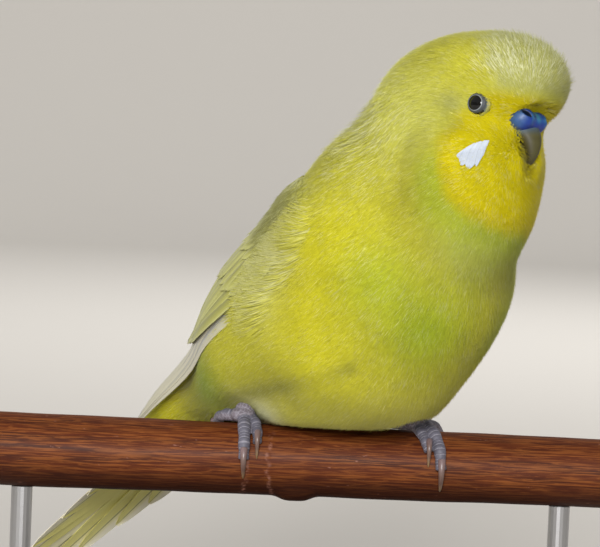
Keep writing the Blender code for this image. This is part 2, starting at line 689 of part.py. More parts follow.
def make_stand():
    """Flat base with rounded corners, and two rods up to the perch."""
    length, width, height = BASE_SIZE
    outline = []
    for cx, cy, start in ((1, 1, 0), (-1, 1, 90), (-1, -1, 180), (1, -1, 270)):
        for k in range(7):
            a = math.radians(start + 90 * k / 6)
            outline.append((cx * (length / 2 - BASE_CORNER) + BASE_CORNER * math.cos(a),
                            cy * (width / 2 - BASE_CORNER) + BASE_CORNER * math.sin(a)))
    outline = np.array(outline)
    rings = []
    for inset, z in ((0.0, 0.0), (0.0, height - 1.5), (1.5, height)):
        shrink = 1 - inset / np.linalg.norm(outline, axis=1)[:, None]
        rings.append(np.hstack([outline * shrink + (0, BASE_AT_Y), np.full((len(outline), 1), z)]))
    rings = np.array(rings)
    base = ring_mesh("stand_base", rings, [(0, BASE_AT_Y, 0), (0, BASE_AT_Y, height)])
    rods = []
    for k, x in enumerate(ROD_OFFSETS):
        line = [(x, 0, height + GAP), (x, 0, PERCH_HEIGHT - PERCH_RADIUS * 0.5)]
        turn = np.linspace(0, 2 * math.pi, 20, endpoint=False)
        ring = np.stack([ROD_RADIUS * np.cos(turn), ROD_RADIUS * np.sin(turn), np.zeros(20)], -1)
        rods.append(ring_mesh(f"stand_rod_{k + 1}", np.array([ring + line[0], ring + line[1]]), line))
    return base, rods


def clear_scene():
    """Takes away whatever Blender starts with."""
    for obj in list(bpy.data.objects):
        bpy.data.objects.remove(obj)


def main():
    """Makes every solid of the model."""
    clear_scene()
    frame = bird_matrix()
    perch = keep_pocket(make_perch())
    base, rods = make_stand()
    for rod in rods:
        cut(rod, ["perch"])

    whole = ring_mesh("whole", *body_points(), frame)
    POCKETS["body"] = ring_mesh("body_pocket", *body_points(GAP), frame)

    feet = [*make_foot("right"), *make_foot("left")]
    for piece in feet:
        if piece.name.startswith("leg"):
            cut(piece, ["body"])

    torso = sliced(whole, "torso", [TORSO_CUT])
    neck = sliced(whole, "neck", [shifted(TORSO_CUT, GAP, True), HEAD_CUT])
    head = sliced(whole, "head", [shifted(HEAD_CUT, GAP, True)])
    cut(torso, ["perch"])
    for piece in feet:
        if not piece.name.startswith("leg"):
            cut(torso, [piece.name])

    eyes = [make_eye(side) for side in (-1, 1)]
    cere = make_cere()
    upper, lower = make_bill()
    boolean(head, [lid_ring(side) for side in (-1, 1)], "UNION")
    cut(head, ["eye_left", "eye_right"])
    for name in (*CERE_NAMES, "beak_upper", "beak_lower"):
        cut(head, [name])

    wings = [make_wing(side) for side in (-1, 1)]
    tail = make_tail()
    cut(tail, ["body"])

    for obj in (whole, *POCKETS.values()):
        bpy.data.objects.remove(obj)

    for obj in (torso, neck, head):
        finish(obj, LIME, 0.8)
    for obj in (*wings, tail):
        finish(obj, PALE_WING, 0.6)
    for obj in feet:
        finish(obj, CLAW if obj.name.startswith("claw") else SLATE, 0.6)
    for obj in eyes:
        finish(obj, EYE_BLACK, 0.1)
    finish(cere, CERE_BLUE, 0.4)
    finish(upper, HORN, 0.4)
    finish(lower, HORN, 0.4)
    finish(perch, WOOD, 0.35)
    finish(base, STAND_BLACK, 0.4)
    for rod in rods:
        finish(rod, STEEL, 0.3, 1.0)


main()
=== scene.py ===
# %% [markdown]
# # Budgerigar on a perch
# A fluffed, lime-yellow budgerigar grips a varnished branch, held up by a small display stand.
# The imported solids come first, as a fixed frame. Each later cell builds one piece of the
# finish over them: skin, plumage, wings, tail, feet, face, branch and stand.
# Lengths are in millimetres until a mesh is made, because that is how a bird is measured.

# %% Load the frame
import math

import bmesh
import bpy
import numpy as np
from mathutils import Matrix, Quaternion, Vector


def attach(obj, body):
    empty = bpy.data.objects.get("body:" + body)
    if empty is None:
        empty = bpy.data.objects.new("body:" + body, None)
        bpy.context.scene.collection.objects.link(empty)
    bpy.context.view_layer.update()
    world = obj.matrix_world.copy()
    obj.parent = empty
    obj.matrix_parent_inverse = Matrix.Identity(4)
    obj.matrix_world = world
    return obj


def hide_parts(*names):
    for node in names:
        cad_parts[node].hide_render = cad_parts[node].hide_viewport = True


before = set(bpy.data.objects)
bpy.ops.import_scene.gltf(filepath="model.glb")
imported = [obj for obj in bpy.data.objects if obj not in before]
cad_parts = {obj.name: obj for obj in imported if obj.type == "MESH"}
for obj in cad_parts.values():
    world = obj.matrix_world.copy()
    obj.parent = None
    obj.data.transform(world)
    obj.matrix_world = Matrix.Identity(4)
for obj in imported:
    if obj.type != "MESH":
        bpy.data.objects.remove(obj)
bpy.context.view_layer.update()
MM = 0.001
WHOLE = "root"
print("frame:", len(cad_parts), "nodes")

# %% [markdown]
# ## Shared helpers
# Most pieces are meshes made with bmesh in millimetres, and every finish is a principled
# shader whose inputs are values or short chains of nodes. The helpers here take up what they
# share: colours of a paint chart, nodes made and linked in one call, noise and bumps on an
# object's own coordinates, and the step from a bmesh to an object in the scene.

# %% Colours
PAINTED = "plumage"


def paint(red, green, blue):
    """Linear colour from the three 0 to 255 values of a paint chart."""
    c = np.array([red, green, blue]) / 255.0
    return np.where(c <= 0.04045, c / 12.92, ((c + 0.055) / 1.055) ** 2.4)


def rgba(colour):
    """Opaque colour in the form that a node takes."""
    return (*[float(x) for x in colour], 1.0)


# %% Nodes
def set_inputs(tree, node, inputs):
    """Gives a node's inputs their values, or links them to other nodes' outputs."""
    for key, value in inputs.items():
        if isinstance(value, bpy.types.NodeSocket):
            tree.links.new(value, node.inputs[key])
        else:
            node.inputs[key].default_value = value


def add_node(tree, kind, inputs=None, **settings):
    """New node with its settings and its inputs."""
    node = tree.nodes.new(kind)
    for key, value in settings.items():
        setattr(node, key, value)
    set_inputs(tree, node, inputs or {})
    return node


def maths(tree, operation, *values):
    """Output of a math node over values or other nodes' outputs."""
    return add_node(tree, "ShaderNodeMath", dict(enumerate(values)), operation=operation).outputs[0]


def ranged(tree, value, first=(0.0, 1.0), then=(0.0, 1.0), interpolation="LINEAR"):
    """Value carried from one range to another, and held at its ends."""
    inputs = dict(zip(("Value", "From Min", "From Max", "To Min", "To Max"), (value, *first, *then)))
    return add_node(tree, "ShaderNodeMapRange", inputs, interpolation_type=interpolation).outputs["Result"]


def tinted(tree, under, over, share):
    """Mix of two colours, each a value or an output, by a share."""
    inputs = {"Factor": share, "A": under, "B": over}
    return add_node(tree, "ShaderNodeMix", inputs, data_type="RGBA").outputs["Result"]


def shaded(tree, colour, share):
    """Colour made lighter or darker by a share."""
    inputs = {0: colour, "Scale": share}
    return add_node(tree, "ShaderNodeVectorMath", inputs, operation="SCALE").outputs["Vector"]


def painted(tree):
    """Colour painted on the mesh's vertices."""
    return add_node(tree, "ShaderNodeAttribute", attribute_name=PAINTED).outputs["Color"]


def own_place(tree):
    """Coordinates of the object itself."""
    return add_node(tree, "ShaderNodeTexCoord").outputs["Object"]


def noise(tree, place, scale, detail, distortion=0.0):
    """Smooth noise over some coordinates."""
    inputs = {"Vector": place, "Scale": scale, "Detail": detail, "Distortion": distortion}
    return add_node(tree, "ShaderNodeTexNoise", inputs).outputs["Fac"]


def bump(tree, height, strength, depth, invert=False):
    """Normal that shows a height, at most a depth in metres."""
    inputs = {"Height": height, "Strength": strength, "Distance": depth}
    return add_node(tree, "ShaderNodeBump", inputs, invert=invert).outputs["Normal"]


# %% Materials
def new_material(name, inputs):
    """Principled material with inputs of its shader, and its node tree and shader at hand."""
    made = bpy.data.materials.new(name)
    made.use_nodes = True
    shader = made.node_tree.nodes["Principled BSDF"]
    set_inputs(made.node_tree, shader, inputs)
    return made, made.node_tree, shader


def waxy_material(name, roughness, grain, depth, coat=0.2, strength=0.4):
    """Painted skin or horn with a fine grain in its bump."""
    made, tree, shader = new_material(name, {
        "Roughness": roughness, "Coat Weight": coat, "Coat Roughness": 0.3})
    fine = noise(tree, own_place(tree), grain, 4.0)
    set_inputs(tree, shader, {"Base Color": painted(tree), "Normal": bump(tree, fine, strength, depth)})
    return made


# %% Meshes and objects
SPIN_STEPS = 72
DOUBLES_WITHIN = 1e-4


def new_object(name, data):
    """Object in the scene for a mesh, a lamp or a camera."""
    obj = bpy.data.objects.new(name, data)
    bpy.context.scene.collection.objects.link(obj)
    return obj


def finish_bmesh(bm, name, inwards=False):
    """Smooth mesh object from a bmesh in the world's metres, with its faces outwards or inwards."""
    bmesh.ops.recalc_face_normals(bm, faces=bm.faces)
    if inwards:
        bmesh.ops.reverse_faces(bm, faces=bm.faces)
    mesh = bpy.data.meshes.new(name)
    bm.to_mesh(mesh)
    bm.free()
    mesh.shade_smooth()
    return new_object(name, mesh)


def placed(bm, name, matrix):
    """Object from a bmesh in millimetres in some frame, with its place in its mesh."""
    bmesh.ops.transform(bm, matrix=Matrix.Scale(MM, 4) @ matrix, verts=bm.verts)
    return finish_bmesh(bm, name)


def places_of(bm):
    """Points of a bmesh's vertices."""
    return np.array([v.co for v in bm.verts])


def set_places(bm, points):
    """Moves a bmesh's vertices to points."""
    for vert, place in zip(bm.verts, points):
        vert.co = place


def spun(profile, axis, closed):
    """bmesh of a profile, open or closed, spun once round an axis through the origin."""
    bm = bmesh.new()
    points = [bm.verts.new(p) for p in profile]
    following = points[1:] + points[:1] if closed else points[1:]
    edges = [bm.edges.new(pair) for pair in zip(points, following)]
    bmesh.ops.spin(bm, geom=[*points, *edges], cent=(0, 0, 0), axis=axis, dvec=(0, 0, 0),
                   angle=2 * math.pi, steps=SPIN_STEPS, use_merge=True)
    bmesh.ops.remove_doubles(bm, verts=bm.verts, dist=DOUBLES_WITHIN)
    return bm


def paint_vertices(mesh, colours):
    """Paints a mesh's vertices with one colour each, or all with one."""
    full = np.ones((len(mesh.vertices), 4), np.float32)
    full[:, :3] = np.clip(colours, 0, 1)
    mesh.color_attributes.new(PAINTED, "FLOAT_COLOR", "POINT").data.foreach_set("color", full.ravel())


def set_map(mesh, name, uv):
    """Writes each corner's place on a map, from one place for each vertex."""
    corner = np.empty(len(mesh.loops), np.int32)
    mesh.loops.foreach_get("vertex_index", corner)
    mesh.uv_layers.new(name=name).data.foreach_set("uv", uv[corner].astype(np.float32).ravel())


print("helpers ready; colours are painted as", PAINTED)

# %% [markdown]
# ## Camera, floor and light
# The photograph looks almost level at the bird, with a slight tilt of the camera. One scale,
# in pixels to a millimetre, fixes the lens. The floor is a pale bowl, so that no edge or
# horizon shows from any side. The light is soft and comes mostly from the camera's side, as
# a diffused flash does, with a weaker fill.

# %% Camera
PHOTO_SIZE = (600, 547)
PIXELS_PER_MM = 4.1
CAMERA_DISTANCE = 600.0
CAMERA_ELEVATION = 4.0
CAMERA_TILT = 2.4
PERCH_ROW = 462.0
PERCH_HEIGHT = 66.0

above_perch = (PERCH_ROW - PHOTO_SIZE[1] / 2) / PIXELS_PER_MM
target = Vector((0.0, 0.0, PERCH_HEIGHT + above_perch)) * MM
rise = math.radians(CAMERA_ELEVATION)
back = Vector((0.0, -math.cos(rise), math.sin(rise)))
camera_data = bpy.data.cameras.new("photo_camera")
camera_data.lens = PIXELS_PER_MM * CAMERA_DISTANCE / PHOTO_SIZE[0] * camera_data.sensor_width
camera_data.clip_start = 0.01
camera = new_object("photo_camera", camera_data)
camera.location = target + back * CAMERA_DISTANCE * MM
camera.rotation_mode = "QUATERNION"
tilt = Quaternion((0.0, 0.0, 1.0), math.radians(CAMERA_TILT))
camera.rotation_quaternion = (-back).to_track_quat("-Z", "Y") @ tilt
bpy.context.scene.camera = camera
print("lens:", round(camera_data.lens, 1), "mm")

# %% Floor bowl and lights
BOWL_FLAT = 1.9
BOWL_RIM = 2.6
BOWL_STEEP = 80.0
BOWL_TALL = 1.5
BOWL_STEPS = 12
FLOOR_PALE = paint(196, 192, 186)
AIR_COLOUR = (1.0, 0.98, 0.95, 1.0)
AIR_STRENGTH = 0.45

profile = [(0.0, 0.0, 0.0), (BOWL_FLAT, 0.0, 0.0)]
for step in range(1, BOWL_STEPS + 1):
    a = math.radians(BOWL_STEEP * step / BOWL_STEPS)
    reach = BOWL_FLAT + (BOWL_RIM - BOWL_FLAT) * math.sin(a)
    profile.append((reach, 0.0, (BOWL_RIM - BOWL_FLAT) * BOWL_TALL * (1 - math.cos(a))))
floor = finish_bmesh(spun(profile, (0, 0, 1), closed=False), "floor_bowl", inwards=True)
floor_finish = new_material("pale_floor", {"Base Color": rgba(FLOOR_PALE), "Roughness": 0.9})[0]
floor.data.materials.append(floor_finish)


def soft_lamp(name, place, size, watts, aim=target, mirrored=True):
    """Square area lamp, which wet and waxy pieces mirror or not."""
    lamp = bpy.data.lights.new(name, "AREA")
    lamp.size = size
    lamp.energy = watts
    holder = new_object(name, lamp)
    holder.location = place
    holder.rotation_mode = "QUATERNION"
    holder.rotation_quaternion = (Vector(aim) - Vector(place)).to_track_quat("-Z", "Y")
    holder.visible_glossy = mirrored


soft_lamp("key_lamp", (-0.06, -1.02, 0.41), 0.26, 11.0)
soft_lamp("fill_lamp", (-1.0, -0.30, 0.25), 0.7, 4.6, mirrored=False)
soft_lamp("back_lamp", (0.5, 1.1, 0.9), 0.8, 7.0, mirrored=False)
soft_lamp("wall_lamp", (0.0, 0.9, 1.5), 1.4, 20.0, aim=(0.0, 2.6, 0.5), mirrored=False)
world = bpy.data.worlds.new("studio")
bpy.context.scene.world = world
world.use_nodes = True
air = world.node_tree.nodes["Background"]
set_inputs(world.node_tree, air, {"Color": AIR_COLOUR, "Strength": AIR_STRENGTH})
bpy.context.scene.view_settings.view_transform = "Standard"
print("bowl:", len(floor.data.polygons), "faces")

# %% [markdown]
# ## The body's form
# The solids were made from soft masses melted together: breast, belly, rump, neck, skull and
# cheeks. The same masses are written here again, so that skin and plumage lie where the solids
# are. A few small ones are added, for loose feathers beside the bill and over the cere, and the
# belly is trimmed where it rests on the branch. A distance function tells how far a point is
# from the plumage's outside, and its slope gives the surface's normal, so every feather can be
# set down without a search.

# %% Frames of the bird and its head
BIRD_ALONG_PERCH = 9.0
BIRD_YAW = -40.0
EYES_AT = (48.0, 0.0, 87.5)
HEAD_ROLL = -8.0

to_world = Matrix.Translation((BIRD_ALONG_PERCH, 0.0, PERCH_HEIGHT))
to_world = to_world @ Matrix.Rotation(math.radians(BIRD_YAW), 4, "Z")
head_to_bird = Matrix.Translation(EYES_AT) @ Matrix.Rotation(math.radians(HEAD_ROLL), 4, "X")
bird_to_head = head_to_bird.inverted()
AXIS_Y = np.array([0.0, 1.0, 0.0])


def moved(points, matrix):
    """Points carried from one frame to another."""
    m = np.array(matrix, float)
    return np.asarray(points, float) @ m[:3, :3].T + m[:3, 3]


def turned(directions, matrix):
    """Directions carried from one frame to another."""
    return np.asarray(directions, float) @ np.array(matrix, float)[:3, :3].T


def unit(vectors):
    """Vectors at length 1."""
    return vectors / np.maximum(np.linalg.norm(vectors, axis=-1), 1e-9)[..., None]


def vertex_points(mesh, frame_matrix):
    """Vertices of a finished mesh, back in millimetres in a frame."""
    co = np.empty(len(mesh.vertices) * 3, np.float32)
    mesh.vertices.foreach_get("co", co)
    return moved(co.reshape(-1, 3).astype(float) / MM, frame_matrix.inverted())


# %% Soft masses
# Frame, centre, radii, pitch in degrees, and how softly it melts into the rest
MASSES = (
    ("bird", (-1.3, 0.0, 40.2), (44.5, 28.0, 21.8), 44.0, 0.0),
    ("bird", (14.0, 0.0, 33.0), (26.0, 26.0, 23.9), 40.0, 7.0),
    ("bird", (19.7, 0.0, 52.7), (23.4, 26.0, 29.4), 56.0, 8.0),
    ("bird", (-38.5, 0.0, 10.0), (31.5, 12.5, 10.5), 34.0, 8.0),
    ("bird", (19.1, 0.0, 68.4), (17.6, 20.0, 18.1), 50.0, 8.0),
    ("head", (-21.3, 0.0, -3.9), (13.0, 16.0, 15.4), 0.0, 7.0),
    ("head", (-10.0, 0.0, 3.5), (19.7, 14.6, 14.6), 0.0, 6.0),
    ("head", (-0.1, 0.0, 7.0), (14.1, 13.2, 10.7), 0.0, 4.0),
    ("head", (-6.2, 0.0, -9.9), (13.5, 15.5, 10.0), 0.0, 5.0),
    ("head", (-5.8, 0.0, -21.0), (14.2, 15.8, 16.3), 0.0, 8.5),
    ("bird", (3.0, 0.0, 17.5), (20.5, 18.0, 11.5), 12.0, 6.0),
    ("head", (4.6, 0.0, -11.5), (4.5, 5.0, 4.4), 0.0, 3.0),
    ("head", (7.2, 0.0, 2.2), (4.0, 6.2, 2.4), 0.0, 3.0),
)
WING_BED = ("bird", (-31.0, 0.0, 18.0), (40.0, 13.5, 9.0), 38.0, 8.0)
# Frame, centre, radii and softness: for the eyes, the cere, the bill, the feet and the belly's front
HOLLOWS = (
    ("head", (0.0, 15.2, 0.0), (4.6, 3.6, 4.4), 2.5),
    ("head", (0.0, -15.2, 0.0), (4.6, 3.6, 4.4), 2.5),
    ("head", (11.9, 0.0, -3.2), (4.7, 5.9, 3.1), 1.2),
    ("head", (11.5, 0.5, -8.8), (3.9, 1.3, 5.0), 1.0),
    ("world", (-14.0, -9.5, 76.5), (6.4, 9.5, 5.6), 3.0),
    ("world", (27.0, -10.5, 76.5), (6.8, 9.5, 5.6), 1.5),
    ("world", (105.0, -5.0, 41.5), (80.0, 120.0, 80.0), 2.0),
)
# Over the branch the plumage ends at this height, which rises towards the front, so that it
# rests on the wood instead of sinking in
REST_DEPTH = 9.5
REST_HEIGHT = 74.9
REST_RISE = 0.10
REST_SOFTNESS = 1.5
print("masses:", len(MASSES), "and hollows:", len(HOLLOWS))

# %% Distances to the masses
SLOPE_STEP = 0.15


def ellipsoid_distance(points, centre, radii, pitch=0.0):
    """Rough signed distance to an ellipsoid whose long axis is pitched up by some degrees."""
    a = math.radians(pitch)
    q = points - np.array(centre)
    along = q[..., 0] * math.cos(a) + q[..., 2] * math.sin(a)
    up = -q[..., 0] * math.sin(a) + q[..., 2] * math.cos(a)
    q = np.stack([along, q[..., 1], up], axis=-1)
    r = np.array(radii)
    far = np.linalg.norm(q / r, axis=-1)
    return far * (far - 1.0) / np.maximum(np.linalg.norm(q / r**2, axis=-1), 1e-9)


def soft_union(a, b, softness):
    """Smaller of two distances, rounded where they meet."""
    share = np.clip(0.5 + 0.5 * (b - a) / softness, 0.0, 1.0)
    return b + (a - b) * share - softness * share * (1.0 - share)


def melted(masses, points):
    """Distance to masses melted together, and the points in the head's frame."""
    on_head = moved(points, bird_to_head)
    total = None
    for where, centre, radii, pitch, softness in masses:
        d = ellipsoid_distance(on_head if where == "head" else points, centre, radii, pitch)
        total = d if total is None else soft_union(total, d, softness)
    return total, on_head


def plumage_distance(points):
    """Signed distance to the outside of the plumage, in the bird's frame."""
    total, on_head = melted(MASSES, points)
    in_world = moved(points, to_world)
    for where, centre, radii, softness in HOLLOWS:
        hollow = ellipsoid_distance(on_head if where == "head" else in_world, centre, radii)
        total = -soft_union(-total, hollow, softness)
    rest = REST_HEIGHT + REST_RISE * np.maximum(-in_world[..., 1], 0.0)
    below = np.maximum(in_world[..., 2] - rest, in_world[..., 1] - REST_DEPTH)
    return -soft_union(-total, below, REST_SOFTNESS)


def wing_bed_distance(points):
    """Distance to the body with the bed that the folded wings lie on."""
    return melted((*MASSES, WING_BED), points)[0]


def outward(points, distance=plumage_distance):
    """Surface normals, from the slope of the distance."""
    slope = [distance(points + way) - distance(points - way) for way in np.eye(3) * SLOPE_STEP]
    return unit(np.stack(slope, -1))


# %% Lines and rays
HALVINGS = 22


def smooth_line(points, where):
    """Smooth line through a few points, and its unit directions, at values from 0 to 1."""
    p = np.array(points, float)
    p = np.vstack([2 * p[0] - p[1], p, 2 * p[-1] - p[-2]])
    spans = len(p) - 3
    t = np.clip(np.asarray(where, float), 0.0, 1.0) * spans
    i = np.minimum(t.astype(int), spans - 1)
    f = (t - i)[..., None]
    a, b, c, d = p[i], p[i + 1], p[i + 2], p[i + 3]
    at = 0.5 * (2 * b + (c - a) * f + (2 * a - 5 * b + 4 * c - d) * f**2
                + (3 * b - a - 3 * c + d) * f**3)
    along = (c - a) + 2 * (2 * a - 5 * b + 4 * c - d) * f + 3 * (3 * b - a - 3 * c + d) * f**2
    return at, unit(along)


def eased(table, where):
    """Value of a (position, value) table, joined by smooth steps."""
    x, y = np.array(table).T
    where = np.asarray(where, float)
    i = np.clip(np.searchsorted(x, where) - 1, 0, len(x) - 2)
    f = np.clip((where - x[i]) / (x[i + 1] - x[i]), 0.0, 1.0)
    return y[i] + (y[i + 1] - y[i]) * f * f * (3.0 - 2.0 * f)


def rising(x, low, high):
    """0 below low, 1 above high, smooth between; falls instead where low is over high."""
    f = np.clip((x - low) / (high - low), 0.0, 1.0)
    return f * f * (3.0 - 2.0 * f)


def cast(distance, starts, ways, level, reach=70.0):
    """Point along each ray where the distance reaches the level, by halving."""
    low = np.zeros(starts.shape[:-1])
    high = np.full(starts.shape[:-1], reach)
    for _ in range(HALVINGS):
        mid = 0.5 * (low + high)
        inside = distance(starts + ways * mid[..., None]) < level
        low = np.where(inside, mid, low)
        high = np.where(inside, high, mid)
    return starts + ways * low[..., None]


# %% [markdown]
# ## Skin
# Under the feathers one closed skin runs from the rump to the forehead. A UV sphere already
# has the right net of faces, so bmesh makes one, and each of its points is thrown out from a
# bent line inside the bird until it meets the form. Its longitude and latitude then serve as
# the unwrap that skin and feathers share.

# %% From a place on the unwrap to a point on the body
SPINE = ((-40.0, 0.0, 8.0), (2.0, 0.0, 40.0), (20.0, 0.0, 60.0), (33.0, 0.0, 85.0))
RUMP_SHARE = 0.13
CROWN_SHARE = 0.80
SKIN_DEPTH = 1.7


def spine_ray(u, v):
    """Start and way of the ray for a place on the unwrap, u round and v tail to head, and its line's way."""
    at, along = smooth_line(SPINE, (v - RUMP_SHARE) / (CROWN_SHARE - RUMP_SHARE))
    up = np.cross(along, AXIS_Y)
    lean = 0.5 * math.pi * (np.clip((v - CROWN_SHARE) / (1 - CROWN_SHARE), 0, 1)
                            - np.clip((RUMP_SHARE - v) / RUMP_SHARE, 0, 1))
    turn = 2 * math.pi * u
    across = np.cos(turn)[..., None] * up + np.sin(turn)[..., None] * AXIS_Y
    return at, np.sin(lean)[..., None] * along + np.cos(lean)[..., None] * across, along


def body_point(u, v, level=0.0):
    """Point of the body at a place on the unwrap, at a level over the plumage's outside."""
    start, way, _ = spine_ray(u, v)
    return cast(plumage_distance, start, way, level)


# %% Build the skin
SKIN_SEGMENTS = (160, 150)

ball = bmesh.new()
bmesh.ops.create_uvsphere(ball, u_segments=SKIN_SEGMENTS[0], v_segments=SKIN_SEGMENTS[1], radius=1.0)
unit_points = places_of(ball)
skin_u = np.arctan2(unit_points[:, 1], unit_points[:, 0]) / (2 * math.pi) % 1.0
skin_v = 0.5 + np.arcsin(np.clip(unit_points[:, 2], -1, 1)) / math.pi
skin_points = body_point(skin_u, skin_v, -SKIN_DEPTH)
set_places(ball, moved(skin_points, to_world) * MM)
skin = finish_bmesh(ball, "skin")
set_map(skin.data, "OFBake", np.stack([skin_u, skin_v], -1))
print("skin:", len(skin.data.polygons), "faces")

# %% [markdown]
# ## Markings
# The bird has a deep yellow mask with a white cheek patch, a pale forehead, a green tinge
# below the mask and on the breast, and a brighter yellow rump. Each marking is a soft patch
# with a named place and size in the bird's or the head's frame, so the skin and every
# feather can ask one function for their colour, and both sides of the bird match.

# %% Palette
LIME = paint(190, 185, 52)
BRIGHT_YELLOW = paint(212, 204, 34)
GREEN_TINGE = paint(146, 168, 34)
MASK_YELLOW = paint(210, 194, 4)
MASK_SHADE = paint(168, 154, 2)
FOREHEAD_PALE = paint(174, 174, 98)
CROWN_YELLOW = paint(192, 188, 56)
NAPE_PALE = paint(205, 206, 106)
MANTLE_OLIVE = paint(160, 160, 72)
BELLY_PALE = paint(200, 190, 92)
FLUFF_WHITE = paint(216, 216, 182)
DUSKY = paint(146, 148, 96)
STREAK_GREEN = paint(112, 152, 44)
RUMP_YELLOW = paint(216, 206, 18)
FOLD_SHADE = paint(134, 132, 58)
CHEEK_WHITE = paint(188, 196, 208)
WING_PALE_EDGE = paint(178, 178, 116)
WING_OLIVE = paint(128, 127, 66)
WING_YELLOW = paint(154, 152, 68)

# %% Soft patches
# Colour, strength, frame, centre with y on either side, and radii
PATCHES = (
    (BRIGHT_YELLOW, 0.8, "bird", (19.0, 26.0, 57.0), (12.0, 9.0, 11.0)),
    (BRIGHT_YELLOW, 0.9, "bird", (11.0, 27.0, 41.0), (13.0, 9.0, 12.0)),
    (BRIGHT_YELLOW, 0.7, "bird", (17.0, 24.0, 27.0), (12.0, 9.0, 8.0)),
    (GREEN_TINGE, 0.75, "bird", (39.0, 14.0, 37.0), (9.0, 12.0, 10.0)),
    (GREEN_TINGE, 0.35, "bird", (47.0, 8.0, 52.0), (8.0, 10.0, 8.0)),
    (GREEN_TINGE, 0.5, "bird", (31.0, 23.0, 48.0), (10.0, 8.0, 9.0)),
    (BELLY_PALE, 0.8, "bird", (22.0, 6.0, 10.0), (24.0, 16.0, 11.0)),
    (FLUFF_WHITE, 0.9, "bird", (-8.5, 18.0, 10.5), (6.5, 6.5, 6.0)),
    (RUMP_YELLOW, 0.9, "bird", (-42.0, 9.0, 12.0), (10.0, 8.0, 8.0)),
    (STREAK_GREEN, 0.6, "bird", (-24.0, 19.0, 18.0), (9.0, 9.0, 9.0)),
    (MANTLE_OLIVE, 0.85, "bird", (-12.0, 0.0, 62.0), (26.0, 17.0, 22.0)),
    (NAPE_PALE, 0.7, "bird", (20.0, 8.0, 88.0), (14.0, 13.0, 14.0)),
    (NAPE_PALE, 0.45, "bird", (47.0, 9.0, 57.0), (7.0, 9.0, 5.0)),
    (CROWN_YELLOW, 0.7, "head", (-12.0, 4.0, 15.0), (10.0, 12.0, 7.0)),
    (NAPE_PALE, 0.5, "head", (-14.0, 14.0, -4.0), (9.0, 6.0, 10.0)),
    (DUSKY, 0.55, "head", (-5.5, 13.5, -0.4), (3.4, 3.0, 2.6)),
    (WING_PALE_EDGE, 0.6, "bird", (0.0, 27.0, 48.0), (7.0, 7.0, 13.0)),
    (FLUFF_WHITE, 0.35, "bird", (44.0, 4.0, 60.0), (7.0, 9.0, 9.0)),
)
FOLD_LINE = ((-9.3, -19.8, 17.0), (24.4, -22.6, 27.4))
FOLD_WIDTH = 2.2
MASK_CENTRE = (8.0, -12.0)
MASK_RADII = (13.0, 15.5)
print("soft patches of colour:", len(PATCHES))

# %% Colour of the plumage
WAVES = 6
WAVE_SUM = 3.2


def waviness(points, size, seed):
    """Smooth, cheap, repeatable noise from -1 to 1 made of a few crossed waves."""
    rng = np.random.default_rng(seed)
    total = np.zeros(points.shape[:-1])
    for _ in range(WAVES):
        way = unit(rng.normal(size=3)) * rng.uniform(0.7, 1.6) * 2 * math.pi / size
        total += np.sin(points @ way + rng.uniform(0, 2 * math.pi))
    return total / WAVE_SUM


def blend_to(colours, colour, share):
    """One colour or many, blended to another by a share for each point."""
    return colours + (colour - colours) * np.clip(share, 0.0, 1.0)[..., None]


def mask_reach(on_head):
    """1 on the rim of the yellow mask, less inside it."""
    q = (on_head[..., [0, 2]] - MASK_CENTRE) / MASK_RADII
    return np.sqrt((q**2).sum(-1))


def plumage_colour(points):
    """Colour of the plumage at points in the bird's frame."""
    on_head = moved(points, bird_to_head)
    colours = LIME
    for colour, strength, where, centre, radii in PATCHES:
        q = (on_head if where == "head" else points).copy()
        q[..., 1] = np.abs(q[..., 1])
        far = (((q - centre) / radii) ** 2).sum(-1)
        colours = blend_to(colours, colour, strength * np.exp(-far))
    # Painted shade along a fold in the plumage, low on each flank
    a, b = np.array(FOLD_LINE)
    mirrored = points.copy()
    mirrored[..., 1] = -np.abs(points[..., 1])
    share = np.clip(((mirrored - a) @ (b - a)) / ((b - a) @ (b - a)), 0, 1)
    off = np.linalg.norm(mirrored - a - share[..., None] * (b - a), axis=-1)
    colours = blend_to(colours, FOLD_SHADE, 0.55 * np.exp(-((off / FOLD_WIDTH) ** 2)))
    x, z = on_head[..., 0], on_head[..., 2]
    wave = waviness(points, 6.0, 3)
    # The mask, with a green tinge under its rim, a darker yellow towards the rim, and painted shade in the
    # lores under the brow, by the cere and bill
    rim = mask_reach(on_head) + 0.05 * wave
    near_mask = rising(rim, 1.95, 1.1) * rising(rim, 0.8, 1.1) * rising(z, -8.0, -18.0)
    colours = blend_to(colours, GREEN_TINGE, 0.58 * near_mask)
    in_mask = rising(rim, 1.16, 0.80) * rising(z, 5.5, 0.5)
    colours = blend_to(colours, MASK_YELLOW, 0.97 * in_mask)
    shade = in_mask * (rising(rim, 0.7, 0.98) + 0.7 * rising(z, -4.5, 0.0) * rising(x, 1.0, 5.0))
    colours = blend_to(colours, MASK_SHADE, 0.45 * shade)
    # The pale forehead, with a wavy edge towards the crown
    edge = 3.3 - 0.05 * np.square(np.clip(z - 4.0, 0.0, None)) + 2.2 * wave
    pale = rising(x, edge - 5.0, edge + 6.0) * rising(z, 1.2, 5.5)
    colours = blend_to(colours, FOREHEAD_PALE, 0.95 * pale)
    broad = 1.0 + 0.05 * waviness(points, 17.0, 4) + 0.04 * waviness(points, 7.0, 5)
    return np.clip(colours * broad[..., None], 0.0, 1.0)


# %% Plumage material
MOTTLE_SCALE = 900.0
MOTTLE_LEVELS = (0.92, 1.08)
SKIN_SHADE = 0.75


